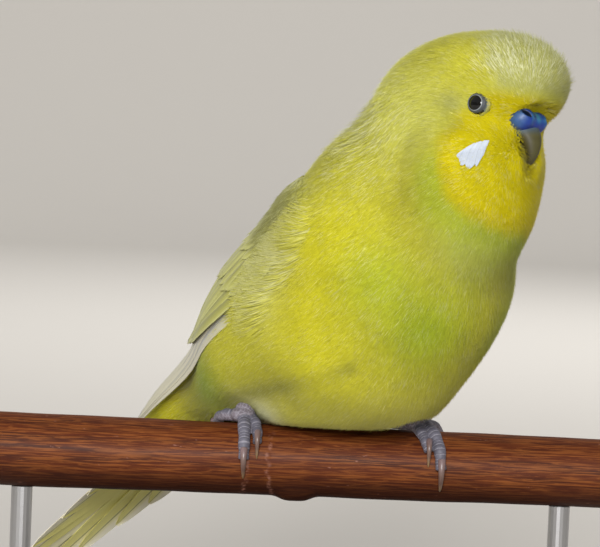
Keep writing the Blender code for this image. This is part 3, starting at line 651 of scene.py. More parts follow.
def plumage_material(name, sheen=0.08):
    """Soft feather finish: the painted colour, mottled a little."""
    made, tree, shader = new_material(name, {
        "Roughness": 0.75, "Specular IOR Level": 0.14, "Sheen Weight": sheen, "Sheen Roughness": 0.5})
    mottle = ranged(tree, noise(tree, own_place(tree), MOTTLE_SCALE, 3.0), then=MOTTLE_LEVELS)
    set_inputs(tree, shader, {"Base Color": shaded(tree, painted(tree), mottle)})
    return made


skin_finish = plumage_material("down_skin", sheen=0.0)
# Painted shade: the skin shows only in the gaps between tufts, so it is the plumage's colour darkened by
# SKIN_SHADE
paint_vertices(skin.data, plumage_colour(skin_points) * SKIN_SHADE)
skin.data.materials.append(skin_finish)
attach(skin, WHOLE)
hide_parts("head", "neck", "torso")
print("skin painted with", len(PATCHES), "soft patches")

# %% [markdown]
# ## Lie of the feathers
# Feathers grow backwards: away from the bill on the head, and from neck to tail on the
# body. The lie is a direction in the surface at each place, blended from those two flows.
# A wing area in its own coordinates, along the wing and round from the back, tells where
# the folded wing hides the body and where the flank feathers overlap it.

# %% Wing area, from its own coordinates
WING_SPINE = ((15.0, 0.0, 63.0), (-5.0, 0.0, 42.0), (-30.0, 0.0, 18.0), (-58.0, 0.0, -2.5))
# Degrees off the back at shares of the wing's length, for its back edge and for its lower edge
WING_DORSAL = ((0.0, 48.0), (0.2, 26.0), (0.45, 12.0), (0.75, 8.0), (1.0, 14.0))
WING_LOWER = ((0.0, 78.0), (0.12, 86.0), (0.24, 90.0), (0.36, 95.0),
              (0.5, 94.0), (0.65, 86.0), (0.82, 82.0), (1.0, 75.0))
WING_BEYOND = 85.0
WING_STATIONS = np.linspace(-0.15, 1.0, 70)


def wing_place(points):
    """How far along the wing a point lies, and how far round from the back in degrees."""
    at, along = smooth_line(WING_SPINE, WING_STATIONS)
    at = at + np.minimum(WING_STATIONS, 0.0)[:, None] * WING_BEYOND * along
    off = np.abs(((points[:, None, :] - at[None]) * along[None]).sum(-1))
    near = off.argmin(1)
    up = unit(np.cross(AXIS_Y, along))[near]
    q = points - at[near]
    return WING_STATIONS[near], np.degrees(np.arctan2(np.abs(q[:, 1]), (q * up).sum(-1)))


def wing_cover(points):
    """Degrees inside the wing's front and lower edge, degrees inside its back edge, and how far along."""
    where, turn = wing_place(points)
    lower, dorsal = eased(WING_LOWER, where), eased(WING_DORSAL, where)
    return np.minimum(lower - turn, (where + 0.01) * 300.0), turn - dorsal, where


# %% Lie field
BILL_ROOT = (10.5, 0.0, -5.0)
HEAD_FLOW_ENDS = 34.0
HEAD_FLOW_FULL = 16.0
OUTWARD_LEAN = 0.25
BODY_REACH = 60.0


def flat_to(vectors, normals):
    """Directions of vectors along the surface that has these normals."""
    return unit(vectors - (vectors * normals).sum(-1)[..., None] * normals)


def lie_of(points, normals, v):
    """Direction that the feathers point in, along the surface."""
    source = np.array(head_to_bird @ Vector(BILL_ROOT))
    from_bill = points - source
    far = np.linalg.norm(from_bill, axis=-1)
    head = flat_to(from_bill, normals)
    along = spine_ray(np.zeros_like(v), v)[2]
    body = flat_to(-along + OUTWARD_LEAN * (points * (-1.0, 1.0, 0.0)) / BODY_REACH, normals)
    share = rising(far, HEAD_FLOW_ENDS, HEAD_FLOW_FULL)[..., None]
    return unit(body * (1 - share) + head * share)


print("bill's root in the bird's frame:", [round(c, 1) for c in head_to_bird @ Vector(BILL_ROOT)])


# %% [markdown]
# ## Feather tufts
# Seen close, each small feather is a fan of soft barbs. One tuft here is a fan of slim
# four-faced slivers that spring from one root, sink their roots in the skin and end just
# at the plumage's outside. Tens of thousands are set out evenly with a low-discrepancy
# sequence, and their points are worked out together as arrays, which takes seconds where
# single objects would take hours. Each sliver carries its own colour, a little lighter
# or darker than its neighbour, and leans its shading normal to the body's, which keeps the
# plumage soft.

# %% Even scatter over the unwrap
# 1 over the plastic number, and over its square: steps that fill a square evenly, in no rows
EVEN_STEPS = (0.7548776662, 0.5698402910)


def scatter(count, density, seed):
    """Places on the unwrap, even on the body's area times a density."""
    rows, cols = 220, 160
    v = (np.arange(rows) + 0.5) / rows
    u = (np.arange(cols) + 0.5) / cols
    grid_u, grid_v = np.meshgrid(u, v)
    p = body_point(grid_u, grid_v, -SKIN_DEPTH)
    along = np.gradient(p, axis=0)
    across = 0.5 * (np.roll(p, -1, 1) - np.roll(p, 1, 1))
    weight = np.linalg.norm(np.cross(along, across), axis=-1) * density(p)
    by_row = np.cumsum(weight.sum(1))
    k = np.arange(count) + 1 + 97 * seed
    first, second = (k * EVEN_STEPS[0]) % 1.0, (k * EVEN_STEPS[1]) % 1.0
    edges = np.concatenate([[0.0], by_row]) / by_row[-1]
    pick_v = np.interp(first, edges, np.arange(rows + 1) / rows)
    row = np.minimum((pick_v * rows).astype(int), rows - 1)
    by_col = np.concatenate([np.zeros((rows, 1)), np.cumsum(weight, 1)], 1)
    by_col /= by_col[:, -1:]
    pick_u = np.empty(count)
    for r in range(rows):
        chosen = row == r
        pick_u[chosen] = np.interp(second[chosen], by_col[r], np.arange(cols + 1) / cols)
    return pick_u, pick_v


# %% Slivers to mesh
BAKE_PATCH = 0.003
SLIVER_FACES = np.array([[0, 2, 3], [2, 1, 3], [1, 0, 3], [0, 1, 2]])
SLIVER_SPOTS = ((-0.1, -0.4), (0.1, -0.4), (0.0, -0.4), (0.0, 0.4))
SIDE_LEAN = 0.35
TIP_LEAN = 0.25


def triangle_mesh(name, points, faces):
    """Mesh from rows of points in the bird's frame and the triangles between them."""
    places = moved(points.reshape(-1, 3), to_world) * MM
    mesh = bpy.data.meshes.new(name)
    mesh.vertices.add(len(places))
    mesh.vertices.foreach_set("co", places.astype(np.float32).ravel())
    mesh.loops.add(len(faces) * 3)
    mesh.loops.foreach_set("vertex_index", faces.astype(np.int32).ravel())
    mesh.polygons.add(len(faces))
    mesh.polygons.foreach_set("loop_start", np.arange(0, len(faces) * 3, 3, dtype=np.int32))
    mesh.update()
    mesh.validate()
    return mesh


def repeated_faces(pattern, size, count):
    """Faces of a pattern of some points, repeated for each copy of it."""
    return (pattern[None] + size * np.arange(count)[:, None, None]).reshape(-1, 3)


def grid_places(count, columns, rows):
    """Places on the unwrap for the members of a piece, in rows and columns."""
    return np.stack([np.arange(count) % columns / columns, np.arange(count) // columns / rows], -1)


def sliver_mesh(name, roots, tips, normals, width, thick, root_colours, tip_colours, root_uv,
                patch=(0.0, 0.0)):
    """Joined slivers with two root corners, a ridge and a tip each. root_uv is where each one's root
    lies on the unwrap, and patch is where its own spot lies from there."""
    way = unit(tips - roots)
    side = unit(np.cross(way, normals))
    half = 0.5 * np.reshape(width, (-1, 1)) * side
    points = np.stack([roots - half, roots + half, roots + thick * normals, tips], 1)
    lean = np.stack([normals - SIDE_LEAN * side, normals + SIDE_LEAN * side,
                     normals, normals + TIP_LEAN * way], 1)
    mesh = triangle_mesh(name, points, repeated_faces(SLIVER_FACES, 4, len(roots)))
    colours = np.repeat(root_colours[:, None, :], 4, 1)
    colours[:, 3] = tip_colours
    paint_vertices(mesh, colours.reshape(-1, 3))
    spots = np.stack([np.add(patch, spot) for spot in SLIVER_SPOTS], -2)
    spots = np.clip(spots, -0.5, 0.5) * BAKE_PATCH
    set_map(mesh, "OFBake", (root_uv[:, None, :] + spots).reshape(-1, 2))
    mesh.shade_smooth()
    mesh.normals_split_custom_set_from_vertices(turned(unit(lean).reshape(-1, 3), to_world))
    return new_object(name, mesh)


# %% Where tufts grow
EYE_BARE = 2.5
CHEEK_SIDE = 6.0
CERE_BARE = ((8.4, 0.0, -2.0), (5.2, 6.1, 4.1))


def coat_density(points):
    """More and smaller tufts on the head, fewer where the wing hides the body."""
    flat = points.reshape(-1, 3)
    on_head = moved(flat, bird_to_head)
    face = rising(np.linalg.norm(on_head - BILL_ROOT, axis=1), 34.0, 12.0)
    edge, back, where = wing_cover(flat)
    hidden = np.where(where < 0.34, 0.3, 0.08) + 0.7 * rising(where, 0.14, 0.08)
    dense = (1.0 + 1.6 * face) * np.where(np.minimum(edge, back) > 6.0, hidden, 1.0)
    bare = np.abs(on_head[:, 1]) > CHEEK_SIDE
    bare &= np.hypot(on_head[:, 0], on_head[:, 2]) < EYE_BARE
    bare |= ellipsoid_distance(on_head, *CERE_BARE) < 0.0
    return np.where(bare, 0.0, dense).reshape(points.shape[:-1])


def kept_off_eye(roots, tips):
    """Tips drawn back towards their roots where they would lie over the eye."""
    first, last = [moved(p, bird_to_head) for p in (roots, tips)]
    near = np.hypot(last[:, 0], last[:, 2])
    from_eye = np.hypot(first[:, 0], first[:, 2])
    share = np.clip((from_eye - EYE_BARE) / np.maximum(from_eye - near, 0.1), 0.15, 1.0)
    over = (near < EYE_BARE) & (np.abs(last[:, 1]) > CHEEK_SIDE)
    return roots + (tips - roots) * np.where(over, share, 1.0)[:, None]


def wing_overlap(edge, back, where):
    """How far a tuft of the flank laps over the wing's edge, and how far one lies on its shoulder."""
    flank = rising(edge, -18.0, -8.0) * rising(edge, 4.0, -1.0) * rising(where, -0.10, -0.02)
    flank *= rising(where, 0.40, 0.30) * rising(where, -0.04, 0.10) * rising(back, -5.0, 10.0)
    on_wing = rising(np.minimum(edge, back), 0.0, 6.0)
    return flank, on_wing * rising(where, 0.30, 0.20) * rising(where, -0.03, 0.08)


# %% Barbs of a tuft
BARBS = 8
BARB_THICK = 0.10
FAN = math.radians(15.0)
FAN_SWAY = 0.10
FAN_CURVE = 0.22
TIP_LIFT = 1.2
HEIGHT_STEPS = 2
SEEN_AT = 0.7


def fan_out(rng, root, normal, lie, length):
    """Places of each tuft's barbs across it, and the barbs' roots and tips, in a fan."""
    bitangent = np.cross(normal, lie)
    x = np.linspace(-1.0, 1.0, BARBS)[None, :] + rng.normal(0, 0.10, (len(root), BARBS))
    sway = rng.normal(0.0, FAN_SWAY, len(root))[:, None]
    angle = FAN * x + sway + rng.normal(0, 0.035, x.shape)
    way = np.cos(angle)[..., None] * lie[:, None] + np.sin(angle)[..., None] * bitangent[:, None]
    spread = np.minimum(0.20 + 0.09 * length, 0.75)
    roots = root[:, None] + bitangent[:, None] * (x * spread[:, None])[..., None]
    long = length[:, None] * (1.0 - FAN_CURVE * x**2) * rng.uniform(0.78, 1.12, x.shape)
    tips = roots + way * long[..., None] + normal[:, None] * TIP_LIFT
    roots = roots.reshape(-1, 3)
    return x, roots, kept_off_eye(roots, tips.reshape(-1, 3))


def at_height(rng, tips, lift, over, loose):
    """Tips brought to their heights over the form, with a few stray ones above the rest."""
    high = np.repeat(lift, BARBS) + rng.normal(0, 0.10, len(tips)) * (1 + loose)
    high += (0.5 + 0.9 * loose) * (rng.random(len(tips)) < 0.04 + 0.14 * loose) * rng.random(len(tips))
    for _ in range(HEIGHT_STEPS):
        out = outward(tips)
        form = plumage_distance(tips)
        form = form + over * (wing_bed_distance(tips) - form)
        tips = tips + out * (high - form)[:, None]
    return tips


def barb_colours(rng, root, roots, tips, flank, on_wing, wild, loose):
    """Colour and tone of every barb: its own place's, or the wing's where it lies on the wing."""
    tone = (1.0 + rng.normal(0, 0.03, len(root)))[:, None]
    tone = (tone * (1.0 + rng.normal(0, 0.06, (len(root), BARBS)) * (1 + wild[:, None]))).reshape(-1)
    colour = plumage_colour(roots + SEEN_AT * (tips - roots))
    feather = blend_to(WING_YELLOW, WING_OLIVE, 0.4 + 0.35 * waviness(root, 4.0, 6))
    feather = blend_to(feather, WING_PALE_EDGE, 0.8 * (rng.random(len(root)) < 0.35))
    winged = np.repeat(np.maximum(on_wing, 0.45 * flank), BARBS)
    colour = colour + (np.repeat(feather, BARBS, 0) - colour) * winged[:, None]
    pale = np.repeat(rng.random(len(root)) < 0.06 + 0.4 * flank, BARBS)
    pale |= rng.random(len(tips)) < 0.05 + 0.3 * loose
    return blend_to(colour, FLUFF_WHITE, (0.24 + 0.4 * loose) * pale), tone


# %% Lay the tufts
TUFTS = 40000
COAT_SEED = 11
PIECE_LIMIT = 48000
HEAD_REACH = 30.0
ROOT_TONE = 0.91
TIP_TONE = 1.04
NAPE_AT = (18.0, 0.0, 86.0)
NAPE_SIZE = 13.0


def lay_coat():
    """Every barb of the body's plumage, whether it is by the face, and how far up the body."""
    rng = np.random.default_rng(COAT_SEED)
    u, v = scatter(TUFTS, coat_density, 1)
    root = body_point(u, v, -SKIN_DEPTH)
    normal = outward(root)
    lie = lie_of(root, normal, v)
    on_head = moved(root, bird_to_head)
    from_bill = np.linalg.norm(on_head - BILL_ROOT, axis=1)
    length = 2.3 + 4.4 * rising(from_bill, 5.0, 42.0) + 2.2 * rising(root[:, 0], -5.0, -45.0)
    # Tufts that overlap the wing are turned towards it and raised on its bed
    flank, on_wing = wing_overlap(*wing_cover(root))
    over = np.maximum(flank, on_wing)
    toward = flat_to(np.stack([-np.ones_like(u), 0 * u, 0.30 + 0 * u], -1), normal)
    lie = unit(lie + 2.0 * flank[:, None] * toward)
    lift = 0.12 + 0.28 * rng.random(len(u)) + np.where(on_wing > flank, 2.0, 2.5) * over
    bed = np.where(on_wing > flank, 1.2, 0.5) - wing_bed_distance(root)
    root = root + normal * (over * bed)[:, None]
    # Looser, wilder tufts on the forehead and the nape
    crest = rising(on_head[:, 0], -3.0, 5.0) * rising(on_head[:, 2], 3.0, 8.0)
    nape = np.exp(-(((root * (1.0, 0.0, 1.0) - NAPE_AT) / NAPE_SIZE) ** 2).sum(-1))
    wild = np.maximum(crest, nape)
    loose = np.repeat(wild, BARBS)
    x, roots, tips = fan_out(rng, root, normal, lie, length)
    tips = at_height(rng, tips, lift, np.repeat(over, BARBS), loose)
    colour, tone = barb_colours(rng, root, roots, tips, flank, on_wing, wild, loose)
    width = np.repeat(0.24 + 0.032 * length, BARBS) * rng.uniform(0.8, 1.25, len(tips))
    patch = np.stack([np.clip(x.reshape(-1), -1, 1) * 0.38, np.zeros(len(tips))], -1)
    return {
        "roots": roots, "tips": tips, "normals": np.repeat(normal, BARBS, 0), "width": width,
        "root_colours": colour * (ROOT_TONE * tone)[:, None],
        "tip_colours": colour * (TIP_TONE * tone)[:, None],
        "root_uv": np.repeat(np.stack([u, v], -1), BARBS, 0), "patch": patch,
    }, np.repeat(from_bill < HEAD_REACH, BARBS), np.repeat(v, BARBS)


coat, on_face, coat_v = lay_coat()
coat_finish = plumage_material("feather_barbs")
order = np.argsort(coat_v + 2.0 * on_face, kind="stable")
COAT_PARTS = -(-len(order) // PIECE_LIMIT)
for part, chosen in enumerate(np.array_split(order, COAT_PARTS)):
    chosen = chosen[np.argsort(chosen)]
    barbs = {key: rows[chosen] for key, rows in coat.items()}
    tufts = sliver_mesh(f"plumage_{part + 1}", thick=BARB_THICK, **barbs)
    tufts.data.materials.append(coat_finish)
    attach(tufts, WHOLE)

# %% [markdown]
# ## Cheek patches
# The white patch is a few broad feathers that hang from the cheek, wide at their ends. Its
# outline was measured in the head's side view, so its barbs are set between a line of roots
# and a line of ends there, and then laid on the cheek, a little above the yellow feathers.

# %% Cheek patches
CHEEK_ROOTS = ((4.4, 0.0, -8.2), (3.6, 0.0, -8.5), (2.6, 0.0, -9.1), (1.4, 0.0, -10.2), (0.3, 0.0, -11.5))
CHEEK_ENDS = ((4.1, 0.0, -13.0), (3.3, 0.0, -15.0), (1.7, 0.0, -15.3), (0.4, 0.0, -14.5), (-0.6, 0.0, -12.6))
CHEEK_BARBS = 1500
CHEEK_FEATHERS = 3.5
CHEEK_WIDTH = 0.30
CHEEK_THICK = 0.08
CHEEK_COLUMNS = 40
CHEEK_REACH = 30.0
CHEEK_SEED = 17


def on_cheek(places, side, level):
    """Places of the head's side view, laid on the cheek at a level over the plumage's outside."""
    start = moved(places, head_to_bird)
    way = np.broadcast_to(turned((0.0, side, 0.0), head_to_bird), start.shape)
    return cast(plumage_distance, start, way, level, CHEEK_REACH)


for side, name in ((-1.0, "cheek_patch_right"), (1.0, "cheek_patch_left")):
    rng = np.random.default_rng(CHEEK_SEED)
    across, first = rng.random(CHEEK_BARBS), 0.74 * rng.random(CHEEK_BARBS)
    upper, lower = smooth_line(CHEEK_ROOTS, across)[0], smooth_line(CHEEK_ENDS, across)[0]
    notch = np.abs(np.sin(across * math.pi * CHEEK_FEATHERS))
    last = np.minimum(first + rng.uniform(0.25, 0.40, CHEEK_BARBS), 0.86 + 0.16 * notch)
    bed = on_cheek(upper + (lower - upper) * first[:, None], side, 0.10)
    ends = on_cheek(upper + (lower - upper) * last[:, None], side, 0.45)
    # Painted shade: barbs where the cheek's feathers meet are darker
    shade = CHEEK_WHITE * (rng.normal(1.0, 0.03, CHEEK_BARBS) - 0.12 * (notch < 0.2))[:, None]
    patch = sliver_mesh(name, bed, ends, outward(ends), CHEEK_WIDTH, CHEEK_THICK, shade * 0.95, shade * 1.03,
                        grid_places(CHEEK_BARBS, CHEEK_COLUMNS, CHEEK_COLUMNS))
    patch.data.materials.append(coat_finish)
    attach(patch, WHOLE)
print("cheek patches:", CHEEK_BARBS, "barbs each")

# %% [markdown]
# ## Wing and tail feathers
# A flight feather is a stiff vane: a shaft, and barbs that lock into a smooth web with soft
# loose ends. One flat plate from bmesh serves as the pattern for all of them. Its points say
# how far across, along and up they are, so whole tiers are bent into place together, each
# vane a little different, with its lower edge lying over its neighbour. Slim slivers along
# the rims give the loose barb ends. The web's fine lines are a bump in the material, drawn
# on the vane's own map, because real barbs are far too fine to model.

# %% Pattern plate
def vane_pattern(cols, rows):
    """Closed plate: points as (across -1 to 1, along 0 to 1, up 0 or 1), and its triangles."""
    bm = bmesh.new()
    bmesh.ops.create_grid(bm, x_segments=cols, y_segments=rows, size=1.0)
    raised = bmesh.ops.extrude_face_region(bm, geom=bm.faces[:])["geom"]
    upper = [g for g in raised if isinstance(g, bmesh.types.BMVert)]
    bmesh.ops.translate(bm, verts=upper, vec=(0.0, 0.0, 1.0))
    bmesh.ops.recalc_face_normals(bm, faces=bm.faces)
    bmesh.ops.triangulate(bm, faces=bm.faces[:])
    bm.verts.index_update()
    assert all(len(e.link_faces) == 2 for e in bm.edges)
    places = places_of(bm) * (1.0, 0.5, 1.0) + (0.0, 0.5, 0.0)
    faces = np.array([[v.index for v in f.verts] for f in bm.faces])
    bm.free()
    return places, faces


VANE_GRID = (8, 18)
VANE_PLACES, VANE_FACES = vane_pattern(*VANE_GRID)
print("vane pattern:", len(VANE_FACES), "triangles")


# %% Vane outline, and places on a wing
def vane_outline(y, point):
    """Half width of a feather at shares of its length, as a share of its widest."""
    rise = 0.55 + 0.45 * np.sin(np.clip(y / 0.5, 0, 1) * math.pi / 2)
    fall = np.clip(y - point, 0, 1 - point) / (1.0 - point)
    return rise * np.maximum(np.sqrt(np.clip(1 - fall**2.4, 0.0, 1.0)), 0.10)


def wing_point(where, turn, height, side):
    """Point on the wing: where runs shoulder to tip, turn is degrees off the back."""
    at, along = smooth_line(WING_SPINE, where)
    beyond = np.minimum(where, 0.0) + np.maximum(where - 1.0, 0.0)
    at = at + beyond[..., None] * WING_BEYOND * along
    up = unit(np.cross(AXIS_Y, along))
    a = np.radians(turn)[..., None]
    way = np.cos(a) * up + np.sin(a) * side * AXIS_Y
    return cast(wing_bed_distance, at, way, 0.0) + way * height[..., None]


# %% Tiers of a wing
# Name, count, half width in mm, share of the length where it is widest, and length in mm for the
# web's lines. Then for root and tip: places along the wing and turns, each for the lowest and the
# topmost vane, and the height over the bed
WING_TIERS = (
    ("lesser_b", 11, 2.3, 0.55, 11.0, ((0.02, 0.02), (72.0, 40.0), -1.3), ((0.15, 0.145), (79.0, 35.0), 0.8)),
    ("lesser_c", 12, 2.35, 0.55, 12.0, ((0.07, 0.08), (78.0, 34.0), 0.1), ((0.21, 0.22), (84.0, 30.0), 1.5)),
    ("median", 13, 2.4, 0.6, 13.0, ((0.12, 0.15), (84.0, 30.0), 0.8), ((0.28, 0.32), (89.0, 26.0), 1.9)),
    ("greater", 14, 2.3, 0.62, 18.0, ((0.18, 0.23), (87.0, 27.0), 0.8), ((0.37, 0.47), (91.0, 23.0), 1.9)),
    ("secondary", 13, 2.6, 0.66, 30.0, ((0.22, 0.33), (92.0, 25.0), 0.7), ((0.63, 0.71), (62.0, 21.0), 1.6)),
    ("primary", 7, 2.1, 0.45, 62.0, ((0.27, 0.37), (97.0, 67.0), -0.4), ((0.96, 0.88), (79.0, 74.0), 0.5)),
)
VANE_THICK = 0.22
VANE_TILT = 0.30
VANE_ARCH = 0.30
VANE_STEP = {"primary": 0.12, "secondary": 0.08}
VANE_BOW = {"primary": 12.0, "secondary": -5.0}
OFF_MIDDLE = 0.8
print("vanes of a wing:", sum(tier[1] for tier in WING_TIERS))


def tier_points(tier, k, x, y, z, side, vary):
    """Points of the vanes k of a tier at their own places: across x, along y, up z."""
    name, count, half, point, _, root, tip = tier
    up = k / (count - 1)
    where, turn = ([r[0] + (r[1] - r[0]) * up + (t[0] - r[0] + (t[1] - t[0] - r[1] + r[0]) * up) * y
                    for r, t in zip(root[:2], tip[:2])])
    where = where + (vary[0][k] - 0.5) * 0.016 * y
    bow = VANE_BOW.get(name, 0.0) * np.sin(np.clip(y, 0, 1) ** 1.6 * math.pi)
    turn = turn + (vary[1][k] - 0.5) * 2.2 - bow
    at = smooth_line(WING_SPINE, where)[0]
    middle = wing_point(where, turn, np.zeros_like(where), side)
    reach = np.linalg.norm(middle - at, axis=-1)
    turn = turn + np.degrees(half * vane_outline(y, point) * x / reach)
    turn = np.maximum(turn, np.degrees(OFF_MIDDLE / reach))
    height = root[2] + (tip[2] - root[2]) * y + VANE_STEP.get(name, 0.03) * k
    height = height + VANE_TILT * x + VANE_ARCH * (1 - x**2) - (1 - z) * VANE_THICK
    height = height + (vary[2][k] - 0.5) * 0.3 * y
    return wing_point(where, turn, height, side)


# %% Colours of the vanes
WING_NOTCH = paint(92, 88, 44)
QUILL_WHITE = paint(184, 179, 156)
QUILL_SLATE = paint(116, 120, 126)
QUILL_YELLOW = paint(188, 184, 120)
WING_SHAFT = paint(176, 170, 120)


def wing_colour(name, k, x, y, tone):
    """Colour at places of a vane: pale rims on an olive middle, an olive band of painted shade under the
    overlapping vane's edge on the secondaries, and slate rims on the long quills.
    """
    if name == "primary":
        slate = np.where(k % 2 == 1, 0.75, 0.12) * rising(x, 1.3, 0.55)
        colours = blend_to(QUILL_WHITE, QUILL_SLATE, slate)
        colours = blend_to(colours, QUILL_YELLOW, 0.45 * rising(y, 0.35, 0.1))
    elif name == "secondary":
        # Secondaries: the olive band is painted shade just below the edge of the vane that lies over it; the
        # lower rim is pale
        colours = blend_to(WING_YELLOW, WING_OLIVE, 0.9 * rising(x, 0.7, 0.3))
        colours = blend_to(colours, WING_PALE_EDGE, 0.8 * rising(x, 0.7, 0.98))
        colours = blend_to(colours, WING_NOTCH, 0.5 * rising(y, 0.86, 0.99) * rising(-x, -0.4, 0.3))
    else:
        middle = rising(np.abs(x), 0.6, 0.15) * rising(y, 0.96, 0.72)
        rim = rising(np.abs(x), 0.45, 0.95)
        colours = blend_to(WING_YELLOW, WING_OLIVE, 0.9 * middle)
        colours = blend_to(colours, WING_PALE_EDGE, 0.6 * np.maximum(rim, rising(y, 0.85, 1.0)))
    return np.clip(colours * tone[..., None], 0, 1)


# %% Web material
BARBS_PER_MM = 2.6
BARB_SLANT = 1.5
SHAFT_WIDTH = 0.07


def new_group(name, numbers, results):
    """Node group that takes a vector and named numbers and gives named results."""
    group = bpy.data.node_groups.new(name, "ShaderNodeTree")
    group.interface.new_socket("Vector", in_out="INPUT", socket_type="NodeSocketVector")
    for key, value in numbers.items():
        group.interface.new_socket(key, in_out="INPUT", socket_type="NodeSocketFloat").default_value = value
    for key in results:
        group.interface.new_socket(key, in_out="OUTPUT", socket_type="NodeSocketFloat")
    return group, add_node(group, "NodeGroupInput").outputs, add_node(group, "NodeGroupOutput")


def web_lines_group():
    """Group that draws a feather's shaft and its slanting barbs on the vane's own map."""
    numbers = {"Barbs per mm": BARBS_PER_MM, "Slant": BARB_SLANT, "Shaft width": SHAFT_WIDTH}
    group, given, end = new_group("web_lines", numbers, ("Barb", "Shaft"))
    parts = add_node(group, "ShaderNodeSeparateXYZ", {0: given["Vector"]}).outputs
    off = maths(group, "ABSOLUTE", maths(group, "SUBTRACT", parts["X"], 0.5))
    lean = maths(group, "MULTIPLY", off, maths(group, "MULTIPLY", given["Slant"], 2.0))
    rows = maths(group, "MULTIPLY", maths(group, "ADD", parts["Y"], lean), given["Barbs per mm"])
    wave = maths(group, "SINE", maths(group, "MULTIPLY", rows, 2 * math.pi))
    shaft = maths(group, "LESS_THAN", off, maths(group, "MULTIPLY", given["Shaft width"], 0.5))
    set_inputs(group, end, {"Barb": maths(group, "MULTIPLY_ADD", wave, 0.5), "Shaft": shaft})
    return group


WEB_LINES = web_lines_group()


def web_material(name, shaft_colour, shaft_share):
    """Feather web: the vane's colour, faint slanting lines, and a shaft."""
    made, tree, shader = new_material(name, {
        "Roughness": 0.55, "Specular IOR Level": 0.35, "Sheen Weight": 0.15})
    own_map = add_node(tree, "ShaderNodeUVMap", uv_map="vane").outputs["UV"]
    lines = add_node(tree, "ShaderNodeGroup", {"Vector": own_map}, node_tree=WEB_LINES).outputs
    lined = shaded(tree, painted(tree), ranged(tree, lines["Barb"], (-0.5, 0.5), (0.90, 1.05)))
    strength = maths(tree, "MULTIPLY", lines["Shaft"], shaft_share)
    set_inputs(tree, shader, {"Base Color": tinted(tree, lined, rgba(shaft_colour), strength),
                              "Normal": bump(tree, lines["Barb"], 0.35, 0.00006)})
    return made


# %% Vanes to mesh
VANE_CREASE = math.radians(50.0)


def vane_mesh(name, points, colours, own):
    """Joined vanes, one row each, from points, colours and own places: across, and along in mm."""
    count, size = points.shape[:2]
    mesh = triangle_mesh(name, points, repeated_faces(VANE_FACES, size, count))
    paint_vertices(mesh, colours.reshape(-1, 3))
    set_map(mesh, "vane", own.reshape(-1, 2))
    # On the unwrap each vane has a cell, its upper face in one half and its lower in the other
    across = -(-math.sqrt(count) // 1)
    cell = np.stack([np.arange(count) % across, np.arange(count) // across], -1)[:, None, :]
    share = np.stack([own[..., 0], own[..., 1] / own[..., 1].max(1, keepdims=True)], -1)
    lifted = np.where(VANE_PLACES[:, 2] > 0.5, 0.0, 0.5)[None, :]
    share = share * (0.45, 0.92) + np.stack([lifted, 0 * lifted], -1) + 0.02
    set_map(mesh, "OFBake", ((cell + share) / across).reshape(-1, 2))
    mesh.set_sharp_from_angle(angle=VANE_CREASE)
    mesh.shade_smooth()
    return new_object(name, mesh)


# %% Build both wings
FRINGE = 46
FRINGE_WIDTH = 0.26
FRINGE_THICK = 0.06
FRINGE_COLUMNS = 97
WING_SEED = 40


def wing_feathers(side, name):
    """Vanes of one wing, and the loose barb ends on the rims of all but its long quills."""
    blocks, fringes = [], []
    for number, tier in enumerate(WING_TIERS):
        kind, count, _, _, span = tier[:5]
        rng = np.random.default_rng(WING_SEED + number)
        vary = rng.random((4, count))
        k = np.arange(count)[:, None]
        x, y, z = [np.repeat(VANE_PLACES[None, :, i], count, 0) for i in range(3)]
        tone = 0.94 + 0.14 * vary[3][k] + 0 * x
        points = tier_points(tier, k + 0 * x.astype(int), x, y, z, side, vary)
        blocks.append((points, wing_colour(kind, k, x, y, tone), np.stack([0.5 + 0.5 * x, y * span], -1)))
        if kind == "primary":
            continue
        many = (count, FRINGE)
        y = rng.uniform(0.25, 1.0, many)
        x = np.where(rng.random(many) < 0.5, -1.0, 1.0) * rng.uniform(0.72, 0.95, many)
        at_tip = y > 0.86
        x = np.where(at_tip, rng.uniform(-1, 1, many) * 0.9, x)
        k = k + np.zeros(many, int)
        one = np.ones(many)
        reach = rng.uniform(1.0, 2.0, many) / span
        roots = tier_points(tier, k, x, np.minimum(y, 0.97) - 0.3 * reach, one * 0.8, side, vary)
        aside = x * 1.12 + 0.10 * np.sign(x) * ~at_tip
        tips = tier_points(tier, k, aside, np.minimum(y, 0.98) + reach, one * 1.3, side, vary)
        shade = wing_colour(kind, k, np.sign(x) * 0.95, y, 0.98 + 0.16 * rng.random(many))
        fringes.append([a.reshape(-1, 3) for a in (roots, tips, shade)])
    wing = vane_mesh(name, *[np.concatenate(column) for column in zip(*blocks)])
    roots, tips, shade = [np.concatenate(column) for column in zip(*fringes)]
    spots = grid_places(len(roots), FRINGE_COLUMNS, len(roots) / FRINGE_COLUMNS + 1)
    loose_ends = sliver_mesh(name + "_fringe", roots, tips, outward(roots, wing_bed_distance),
                             FRINGE_WIDTH, FRINGE_THICK, shade * 0.95, shade * 1.1, spots)
    return wing, loose_ends


web_finish = web_material("wing_web", WING_SHAFT, 0.45)
for side, cad_name in ((-1, "wing_right"), (1, "wing_left")):
    wing, loose_ends = wing_feathers(side, cad_name.replace("wing", "wing_vanes"))
    wing.data.materials.append(web_finish)
    loose_ends.data.materials.append(coat_finish)
    for piece in (wing, loose_ends):
        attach(piece, WHOLE)
    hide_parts(cad_name)
    print(wing.name, len(wing.data.polygons), "and", len(loose_ends.data.polygons), "faces")

# %% Tail
TAIL_ROOT = (-30.0, 0.0, 15.6)
TAIL_DROP = 38.0
TAIL_ROLL = 14.0
TAIL_LENGTHS = (104.0, 96.0, 82.0, 66.0, 53.0, 43.0)
TAIL_HALF_WIDTH = 3.7
TAIL_SPREAD = (1.5, 2.15)
TAIL_STEP = 0.42
TAIL_FAN = 50.0
TAIL_THICK = 0.24
TAIL_GREY = paint(248, 241, 212)
TAIL_BAND = paint(232, 224, 98)
TAIL_SHADE_AND_DARK_TIP = paint(134, 129, 66)
TAIL_SHAFT = paint(120, 116, 70)
TAIL_SEED = 5

